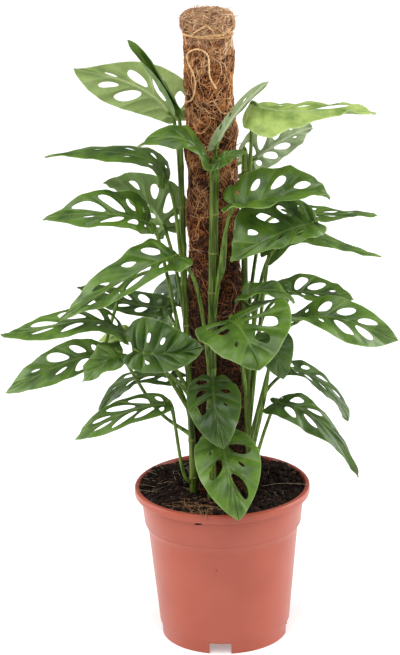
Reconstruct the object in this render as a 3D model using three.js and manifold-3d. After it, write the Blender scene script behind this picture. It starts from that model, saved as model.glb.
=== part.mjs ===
// A Swiss cheese plant, Monstera adansonii, climbing a coir pole in its nursery pot.
// Millimetres, +Z up. Each piece is laid out about the pot's axis with the pot's foot at z = 0,
// and one group at the end moves the whole plant so that it is centred on the origin.

import * as THREE from "three";
import { mergeVertices } from "three/addons/utils/BufferGeometryUtils.js";
import Module from "manifold-3d";

const wasm = await Module();
wasm.setup();

// ---- Driving dimensions ---------------------------------------------------------------------

const GAP = 0.3; // clearance between pieces that touch
const CENTRING = [13.4, -2.5, 0]; // from the pot's axis to the middle of the plant's own box

const POT_HEIGHT = 108.3;
const POT_RIM_RADIUS = 60;
const POT_WALL = 1.4;
const POT_FOOT_RADIUS = 43.2;
const POT_SIDES = 36;
const FLOOR_UNDERSIDE = 8;
const FLOOR_TOP = 10;
const NOTCH = { width: 15, height: 7.7, turn: -5 }; // drainage gaps in the foot, 4 of them
const DRAIN_HOLE_RADIUS = 4;
const DRAIN_CIRCLE_RADIUS = 27;

const SOIL_LEVEL = 106;
const SOIL_HEAP = 3.2;

const POLE_RADIUS = { foot: 18.5, neck: 15.7, crown: 17.4 };
const POLE_RELIEF = 0.45;
const POLE_BASE = 30;
const POLE_TOP = 441;
const POLE_NECK = 425.6; // the twine draws the coir in here
const POLE_TAPER = 150; // above this height the coir is wound thinner and thinner
const POLE_LEAN = -4 / 332; // sideways per millimetre of height, from soil level up
const STAKE_RADIUS = 8;
const STAKE_TOP = 420;
const TWINE_RADIUS = 0.65;

const STEM_RADIUS = { foot: 2.6, tip: 1.9 };
const FRONT_STEM_RADIUS = { foot: 3.2, tip: 3 };
const FIRST_SCAR = 9; // height of the lowest leaf scar on a stem
const SCAR_SPACING = 27.2;
const PETIOLE_RADIUS = { foot: 1.2, joint: 0.9 };
const BLADE_THICKNESS = 0.8;
const LOBE = 0.13; // how far a blade reaches back behind its joint, as a share of its length

// ---- Solids ---------------------------------------------------------------------------------

function toSolid(geometry) {
  const bare = geometry.clone();
  bare.deleteAttribute("normal");
  bare.deleteAttribute("uv");
  const merged = mergeVertices(bare, 1e-4);
  return new wasm.Manifold(
    new wasm.Mesh({
      numProp: 3,
      vertProperties: new Float32Array(merged.attributes.position.array),
      triVerts: new Uint32Array(merged.index.array),
    }),
  );
}

function toGeometry(solid) {
  const mesh = solid.getMesh();
  const geometry = new THREE.BufferGeometry();
  geometry.setAttribute("position", new THREE.BufferAttribute(mesh.vertProperties, 3));
  geometry.setIndex(new THREE.BufferAttribute(mesh.triVerts, 1));
  geometry.computeVertexNormals();
  return geometry;
}

function indexed(points, triangles) {
  const geometry = new THREE.BufferGeometry();
  geometry.setAttribute("position", new THREE.Float32BufferAttribute(points.flatMap((p) => p.toArray()), 3));
  geometry.setIndex(triangles.flat());
  return geometry;
}

// A profile of [radius, height] turned about the Z axis.
function turned(profile, sides) {
  const geometry = new THREE.LatheGeometry(profile.map(([r, z]) => new THREE.Vector2(r, z)), sides);
  return geometry.rotateX(Math.PI / 2);
}

function moveVertices(geometry, move) {
  const position = geometry.attributes.position;
  const p = new THREE.Vector3();
  for (let i = 0; i < position.count; i += 1) {
    move(p.fromBufferAttribute(position, i));
    position.setXYZ(i, p.x, p.y, p.z);
  }
  return geometry;
}

function smooth(points) {
  return new THREE.CatmullRomCurve3(points.map((p) => new THREE.Vector3(...p)), false, "catmullrom", 0.5);
}

// A round rod along a curve, with flat ends; radius is a function of the share of its length.
function rod(curve, steps, sides, radius) {
  const centres = Array.from({ length: steps + 1 }, (_, i) => curve.getPoint(i / steps));
  const points = [];
  const triangles = [];
  let across = null;
  centres.forEach((centre, i) => {
    const before = centres[Math.max(i - 1, 0)];
    const after = centres[Math.min(i + 1, steps)];
    const along = after.clone().sub(before).normalize();
    if (!across) across = new THREE.Vector3(0, 1, 0).cross(along);
    across = across.addScaledVector(along, -across.dot(along)).normalize();
    const other = along.clone().cross(across);
    for (let k = 0; k < sides; k += 1) {
      const turn = (2 * Math.PI * k) / sides;
      const r = radius(i / steps);
      const rim = centre.clone();
      rim.addScaledVector(across, r * Math.cos(turn));
      rim.addScaledVector(other, r * Math.sin(turn));
      points.push(rim);
    }
  });
  for (let i = 0; i < steps; i += 1) {
    for (let k = 0; k < sides; k += 1) {
      const a = i * sides + k;
      const b = i * sides + ((k + 1) % sides);
      triangles.push([a, b, a + sides], [b, b + sides, a + sides]);
    }
  }
  const last = steps * sides;
  for (let k = 1; k < sides - 1; k += 1) {
    triangles.push([0, k + 1, k], [last, last + k, last + k + 1]);
  }
  return indexed(points, triangles);
}

// ---- Pot ------------------------------------------------------------------------------------
// Injection-moulded: a foot band, a tapered body, a straight collar for stacking and a rolled lip.

function pot() {
  const outside = [
    [0, FLOOR_UNDERSIDE],
    [POT_FOOT_RADIUS - 2.2, FLOOR_UNDERSIDE],
    [POT_FOOT_RADIUS - 2, 0],
    [POT_FOOT_RADIUS, 0],
    [POT_FOOT_RADIUS + 0.4, 8.6],
    [44.7, 9.6],
    [51.4, 78.2],
    [53.5, 82.3],
    [55.8, 102.6],
    [59.2, 102.6],
    [POT_RIM_RADIUS, 103.6],
    [POT_RIM_RADIUS, 107.3],
    [59.2, POT_HEIGHT],
  ];
  const inside = [
    [56.8, POT_HEIGHT],
    [55.8 - POT_WALL, 101.4],
    [53.5 - POT_WALL, 82.7],
    [51.4 - POT_WALL, 78.6],
    [44.7 - POT_WALL, FLOOR_TOP],
    [0, FLOOR_TOP],
  ];
  let body = toSolid(turned([...outside, ...inside], POT_SIDES));
  for (let quarter = 0; quarter < 4; quarter += 1) {
    const notch = new THREE.BoxGeometry(NOTCH.width, 12, NOTCH.height + 10);
    notch.translate(0, -POT_FOOT_RADIUS, (NOTCH.height - 10) / 2);
    notch.rotateZ(THREE.MathUtils.degToRad(NOTCH.turn) + (quarter * Math.PI) / 2);
    body = body.subtract(toSolid(notch));
  }
  for (let hole = 0; hole < 7; hole += 1) {
    const drill = new THREE.CylinderGeometry(DRAIN_HOLE_RADIUS, DRAIN_HOLE_RADIUS, 10, 6);
    drill.rotateX(Math.PI / 2);
    drill.translate(hole === 6 ? 0 : DRAIN_CIRCLE_RADIUS, 0, FLOOR_TOP);
    drill.rotateZ((hole * Math.PI) / 3);
    body = body.subtract(toSolid(drill));
  }
  return body;
}

// ---- Coir pole, its stake and its twine -----------------------------------------------------

function leanAt(z) {
  return POLE_LEAN * (z - POT_HEIGHT);
}

function poleRadiusAt(z) {
  const share = THREE.MathUtils.clamp((z - POLE_TAPER) / (POLE_NECK - POLE_TAPER), 0, 1);
  return THREE.MathUtils.lerp(POLE_RADIUS.foot, POLE_RADIUS.neck, share ** 1.5);
}

function lean(geometry) {
  return moveVertices(geometry, (p) => {
    p.x += leanAt(p.z);
  });
}

function stake() {
  const foot = FLOOR_TOP + GAP;
  const profile = [[0, foot], [STAKE_RADIUS, foot], [STAKE_RADIUS, STAKE_TOP], [0, STAKE_TOP]];
  return toSolid(lean(turned(profile, 10)));
}

function coirPole() {
  const bore = STAKE_RADIUS + GAP;
  const rings = 18;
  const profile = [
    [0, STAKE_TOP + GAP],
    [bore, STAKE_TOP + GAP],
    [bore, POLE_BASE],
  ];
  for (let i = 0; i <= rings; i += 1) {
    const z = POLE_BASE + ((POLE_NECK - 8 - POLE_BASE) * i) / rings;
    profile.push([poleRadiusAt(z), z]);
  }
  profile.push([POLE_RADIUS.neck - 0.5, POLE_NECK]);
  profile.push([POLE_RADIUS.crown, POLE_NECK + 5]);
  profile.push([POLE_RADIUS.crown - 0.3, POLE_TOP - 3.4]);
  profile.push([POLE_RADIUS.crown - 2.8, POLE_TOP - 0.8]);
  profile.push([0, POLE_TOP]);
  const sleeve = turned(profile, 16);
  // The matted fibre stands up in shallow lumps on the outside.
  moveVertices(sleeve, (p) => {
    const r = Math.hypot(p.x, p.y);
    const outside = r > bore + 1 && p.z > SOIL_LEVEL + 4 && p.z < POLE_NECK - 4;
    if (!outside) return;
    const turn = Math.atan2(p.y, p.x);
    const lump = Math.sin(5 * turn + p.z / 9) * Math.sin(p.z / 6.1 + 2 * turn);
    p.x *= (r + POLE_RELIEF * lump) / r;
    p.y *= (r + POLE_RELIEF * lump) / r;
  });
  return toSolid(lean(sleeve));
}

// Turn is in degrees round the pole from its front.
function onPole(turn, z, radius) {
  const angle = THREE.MathUtils.degToRad(turn - 90);
  return [leanAt(z) + radius * Math.cos(angle), radius * Math.sin(angle), z];
}

function twineRing() {
  const neck = POLE_RADIUS.neck - 0.5 + GAP + TWINE_RADIUS;
  const ring = new THREE.TorusGeometry(neck, TWINE_RADIUS, 4, 18);
  ring.translate(leanAt(POLE_NECK), 0, POLE_NECK);
  const shoulder = POLE_RADIUS.crown + 0.1 + GAP + TWINE_RADIUS;
  // Two strands rise from the ring over the front of the top and end tucked together.
  const strands = [
    [onPole(-42, POLE_NECK, neck), onPole(-26, 429, shoulder), onPole(-2, 434, shoulder)],
    [onPole(16, POLE_NECK, neck), onPole(10, 430, shoulder), onPole(-2, 434, shoulder)],
  ];
  return strands.reduce(
    (twine, route) => twine.add(toSolid(rod(smooth(route), 4, 4, () => TWINE_RADIUS))),
    toSolid(ring),
  );
}

function twineLoop() {
  const off = POLE_RELIEF + GAP + TWINE_RADIUS;
  const route = [
    [-64, 380],
    [-40, 384],
    [-31, 394],
    [-38, 402],
    [-53, 409],
    [-48, 414.5],
    [-22, 417.5],
    [-2, 414],
    [1, 406],
    [2, 399],
    [15, 391],
  ];
  const curve = smooth(route.map(([turn, z]) => onPole(turn, z, poleRadiusAt(z) + off)));
  return toSolid(rod(curve, 20, 4, () => TWINE_RADIUS));
}

// ---- Stems ----------------------------------------------------------------------------------
// Four cuttings were potted round the pole. Their feet are buried in the soil.

const stemRoutes = {
  front: [[-7, -22, 70], [-7, -22, 150], [-4, -22, 250], [-1, -23, 345]],
  left: [[-19.5, -11, 70], [-20, -11, 150], [-22.5, -8, 250], [-23.5, -4, 365]],
  right: [[17, -16, 70], [18, -16, 150], [17.5, -14.5, 260], [19, -11, 350]],
  back: [[6, 22, 70], [8, 22, 150], [7, 22, 230], [6, 22, 292]],
};

const stemCurves = {};
for (const [name, route] of Object.entries(stemRoutes)) {
  stemCurves[name] = smooth(route);
}

function stemRadius(name, share, height) {
  const ends = name === "front" ? FRONT_STEM_RADIUS : STEM_RADIUS;
  const plain = THREE.MathUtils.lerp(ends.foot, ends.tip, share);
  const scars = (height - FIRST_SCAR) / SCAR_SPACING;
  const fromScar = Math.abs(scars - Math.round(scars));
  return plain + 0.35 * Math.max(0, 1 - fromScar * 5);
}

function stemRod(name, spare) {
  const curve = stemCurves[name];
  return toSolid(rod(curve, 12, 6, (share) => stemRadius(name, share, curve.getPoint(share).z) + spare));
}

function pointOnStem(name, height) {
  const curve = stemCurves[name];
  let low = 0;
  let high = 1;
  for (let i = 0; i < 30; i += 1) {
    const middle = (low + high) / 2;
    if (curve.getPoint(middle).z < height) low = middle;
    else high = middle;
  }
  return curve.getPoint(low);
}

// ---- Soil -----------------------------------------------------------------------------------

function soilHeight(x, y) {
  const heaps =
    Math.exp(-((x + 38) ** 2 + (y - 20) ** 2) / 420) + Math.exp(-((x - 40) ** 2 + (y - 24) ** 2) / 260);
  const crumbs = Math.sin(x / 3.7 + 1) * Math.sin(y / 4.3 + 2) * 0.6;
  return SOIL_LEVEL + SOIL_HEAP * heaps + crumbs;
}

function soil() {
  const clear = POT_WALL + GAP;
  const profile = [
    [0, FLOOR_TOP + GAP],
    [44.7 - clear, FLOOR_TOP + GAP],
    [51.4 - clear, 78.6],
    [53.5 - clear, 82.7],
    [55.8 - clear, SOIL_LEVEL - 4.8],
    [54.9, SOIL_LEVEL],
    [44, SOIL_LEVEL],
    [32, SOIL_LEVEL],
    [20, SOIL_LEVEL],
    [0, SOIL_LEVEL],
  ];
  const plug = moveVertices(turned(profile, 24), (p) => {
    if (p.z < SOIL_LEVEL - 0.5) return;
    const edge = Math.min(1, (56 - Math.hypot(p.x, p.y)) / 6);
    const top = soilHeight(p.x, p.y);
    p.z = THREE.MathUtils.lerp((SOIL_LEVEL + top) / 2 - 0.4, top, edge);
  });
  const sleeve = POLE_RADIUS.foot + GAP;
  const foot = POLE_BASE - GAP;
  const core = STAKE_RADIUS + GAP;
  const poleHole = lean(
    turned([[0, 0], [core, 0], [core, foot], [sleeve, foot], [sleeve, 140], [0, 140]], 16),
  );
  let body = toSolid(plug).subtract(toSolid(poleHole));
  for (const name of Object.keys(stemRoutes)) {
    body = body.subtract(stemRod(name, GAP));
  }
  return body;
}

// ---- Leaves ---------------------------------------------------------------------------------
// A blade is laid out on its midrib. a runs round each half's margin, from 0 at the joint to 1 at
// the tip, and v runs from 0 on the midrib to -1 on the left margin and +1 on the right.

function marginAt(a, { lobes, round, swells }, side) {
  const turn = Math.PI * a;
  const lobe = lobes[side];
  return {
    along: ((1 + lobe) * (1 - Math.cos(turn))) / 2 - lobe + lobe * (1 - a) ** 20,
    across: 0.97 * Math.sin(turn) ** round * (1 + swells[side] * a) * (1 - a ** 3) ** 1.1,
  };
}

// Where the side vein that ends at margin point a leaves the midrib.
function veinRoot(a) {
  return a ** 2;
}

// The curve through the midrib's points, evenly spaced; straight on behind the joint.
function ribPosition(points, s) {
  const inside = THREE.MathUtils.clamp(s, 0, 1);
  const last = points.length - 1;
  const position = new THREE.Vector3();
  points.forEach((point, i) => {
    let weight = 1;
    for (let j = 0; j <= last; j += 1) {
      if (j !== i) weight *= (inside * last - j) / (i - j);
    }
    position.addScaledVector(point, weight);
  });
  return position;
}

function ribFrame(leaf, s) {
  const step = 1e-3;
  const from = THREE.MathUtils.clamp(s, 0, 1 - step);
  const slope = ribPosition(leaf.points, from + step).sub(ribPosition(leaf.points, from));
  const place = ribPosition(leaf.points, s);
  if (s < 0) place.addScaledVector(slope, s / step);
  const along = slope.normalize();
  const face = new THREE.Vector3(...leaf.face).normalize();
  const up = face.addScaledVector(along, -face.dot(along)).normalize();
  const twist = THREE.MathUtils.degToRad(leaf.twist) * THREE.MathUtils.clamp(s, 0, 1);
  up.applyAxisAngle(along, -twist);
  const right = along.clone().cross(up);
  return { place, along, up, right };
}

// How far each half is folded up from flat, in radians.
function foldsAt(leaf, s) {
  const share = THREE.MathUtils.clamp(s, 0, 1);
  const atTip = leaf.tipFold ?? leaf.fold;
  return leaf.fold.map((fold, i) => THREE.MathUtils.degToRad(THREE.MathUtils.lerp(fold, atTip[i], share)));
}

function bladePoint(leaf, a, v) {
  const side = v < 0 ? 0 : 1;
  const out = Math.abs(v);
  const edge = marginAt(a, leaf, side);
  const s = veinRoot(a) + (edge.along - veinRoot(a)) * out;
  const { place, up, right } = ribFrame(leaf, s);
  const reach = leaf.half[side] * edge.across * out;
  const folds = foldsAt(leaf, s);
  const fold = folds[side];
  const bend = THREE.MathUtils.degToRad(leaf.curl[side]) / leaf.half[side] || 1e-6;
  const turn = fold + bend * reach;
  const sideways = (Math.sin(turn) - Math.sin(fold)) / bend;
  const ripple = leaf.wave * Math.sin(2 * Math.PI * (leaf.waves * a + 0.2 + 0.35 * side));
  const rise = (Math.cos(fold) - Math.cos(turn)) / bend + ripple * out ** 2 * Math.sin(Math.PI * a) ** 0.5;
  const sign = side ? 1 : -1;
  const point = place.clone().addScaledVector(right, sideways * sign).addScaledVector(up, rise);
  if (out > 0) {
    const normal = up.clone().multiplyScalar(Math.cos(turn)).addScaledVector(right, -Math.sin(turn) * sign);
    return { point, normal };
  }
  // On the midrib the normal halves the angle between the two folded halves.
  const halfway = (folds[0] - folds[1]) / 2;
  const normal = up.clone().multiplyScalar(Math.cos(halfway)).addScaledVector(right, Math.sin(halfway));
  return { point, normal: normal.multiplyScalar(1 / Math.max(0.65, Math.cos((folds[0] + folds[1]) / 2))) };
}

const FIRST_HOLE = 0.2;
const HOLES_SPAN = 0.62;
const HOLES_A_SIDE = 4;
const SMALL_HOLE = 0.45;
const HOLE_MIDDLE = 0.45; // of the way from the midrib to the margin
const HOLE_REACH = 0.34; // half a full hole's length, as a share of that way

// One flat layer of triangles becomes a closed blade of even thickness.
function thicken(points, normals, triangles) {
  const count = points.length;
  const half = BLADE_THICKNESS / 2;
  const upper = points.map((p, i) => p.clone().addScaledVector(normals[i], half));
  const lower = points.map((p, i) => p.clone().addScaledVector(normals[i], -half));
  const edges = new Set(triangles.flatMap(([a, b, c]) => [`${a},${b}`, `${b},${c}`, `${c},${a}`]));
  const faces = triangles.flatMap(([a, b, c]) => [
    [a, b, c],
    [a + count, c + count, b + count],
  ]);
  for (const edge of edges) {
    const [a, b] = edge.split(",").map(Number);
    if (edges.has(`${b},${a}`)) continue;
    faces.push([a + count, b + count, b], [a + count, b, a]);
  }
  return indexed([...upper, ...lower], faces);
}

function blade(leaf) {
  const points = [];
  const normals = [];
  const triangles = [];
  const known = new Map();
  const vertex = (a, v) => {
    const key = a === 0 || a === 1 ? `${a}` : `${a.toFixed(5)},${v.toFixed(5)}`;
    if (!known.has(key)) {
      const { point, normal } = bladePoint(leaf, a, a === 0 || a === 1 ? 0 : v);
      known.set(key, points.length);
      points.push(point);
      normals.push(normal);
    }
    return known.get(key);
  };
  // A polygon of [a, v] corners, cut into a fan from its first corner.
  const face = (corners, side) => {
    const ids = corners.map(([a, v]) => vertex(a, side * v || 0));
    for (let i = 1; i < ids.length - 1; i += 1) {
      const fan = side > 0 ? [ids[0], ids[i], ids[i + 1]] : [ids[0], ids[i + 1], ids[i]];
      if (new Set(fan).size === 3) triangles.push(fan);
    }
  };
  const cell = (a0, a1, side, size) => {
    if (!size) {
      for (let i = 1; i < leaf.levels.length; i += 1) {
        const [inner, outer] = [leaf.levels[i - 1], leaf.levels[i]];
        face([[a0, inner], [a0, outer], [a1, outer], [a1, inner]], side);
      }
      return;
    }
    const width = ((a1 - a0) / 2) * 0.64 * Math.min(1, size * 1.1);
    const length = HOLE_REACH * size;
    const rim = (degrees) => {
      const turn = THREE.MathUtils.degToRad(degrees);
      return [(a0 + a1) / 2 + width * Math.cos(turn), HOLE_MIDDLE + length * Math.sin(turn)];
    };
    const corners = [[a0, 0], [a0, 1], [a1, 1], [a1, 0]];
    if (size < SMALL_HOLE) {
      corners.forEach((corner, i) => {
        face([corner, corners[(i + 1) % 4], rim(135 - 90 * i), rim(225 - 90 * i)], side);
      });
      return;
    }
    face([rim(180), rim(240), corners[0], corners[1], rim(120)], side);
    face([corners[1], corners[2], rim(60), rim(120)], side);
    face([rim(0), rim(60), corners[2], corners[3], rim(300)], side);
    face([corners[3], corners[0], rim(240), rim(300)], side);
  };
  for (const side of [-1, 1]) {
    const holes = leaf.holes[side < 0 ? 0 : 1];
    const veins = [0, 1, 2, 3, 4].map((k) => FIRST_HOLE + (HOLES_SPAN * k) / HOLES_A_SIDE);
    cell(0, 0.07, side, 0);
    cell(0.07, FIRST_HOLE, side, 0);
    holes.forEach((size, k) => cell(veins[k], veins[k + 1], side, size));
    cell(veins[HOLES_A_SIDE], 0.92, side, 0);
    cell(0.92, 1, side, 0);
  }
  return toSolid(thicken(points, normals, triangles));
}

// The stalk leaves its stem, bends to the joint and runs on a little way under the midrib.
function petiole(leaf) {
  const start = pointOnStem(leaf.stem, leaf.at);
  const joint = ribFrame(leaf, 0);
  const end = ribFrame(leaf, 0.09);
  const under = 0.85;
  const rise = 0.12 * start.distanceTo(joint.place);
  const middle = leaf.via
    ? leaf.via
    : start.clone().lerp(joint.place, 0.5).add(new THREE.Vector3(0, 0, rise)).toArray();
  const route = [
    start.toArray(),
    middle,
    joint.place.addScaledVector(joint.up, -under).toArray(),
    end.place.addScaledVector(end.up, -under).toArray(),
  ];
  const radius = (share) => THREE.MathUtils.lerp(PETIOLE_RADIUS.foot, PETIOLE_RADIUS.joint, share);
  return toSolid(rod(smooth(route), 6, 4, radius));
}

const WHOLE = [[0, 0, 0, 0], [0, 0, 0, 0]];

const plainLeaf = {
  lobes: [LOBE, LOBE], round: 0.75, swells: [0.35, 0.35], fold: [10, 10], tipFold: null, curl: [0, 0],
  twist: 0, wave: 1, waves: 2.5, via: null, levels: [0, 1],
};

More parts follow.
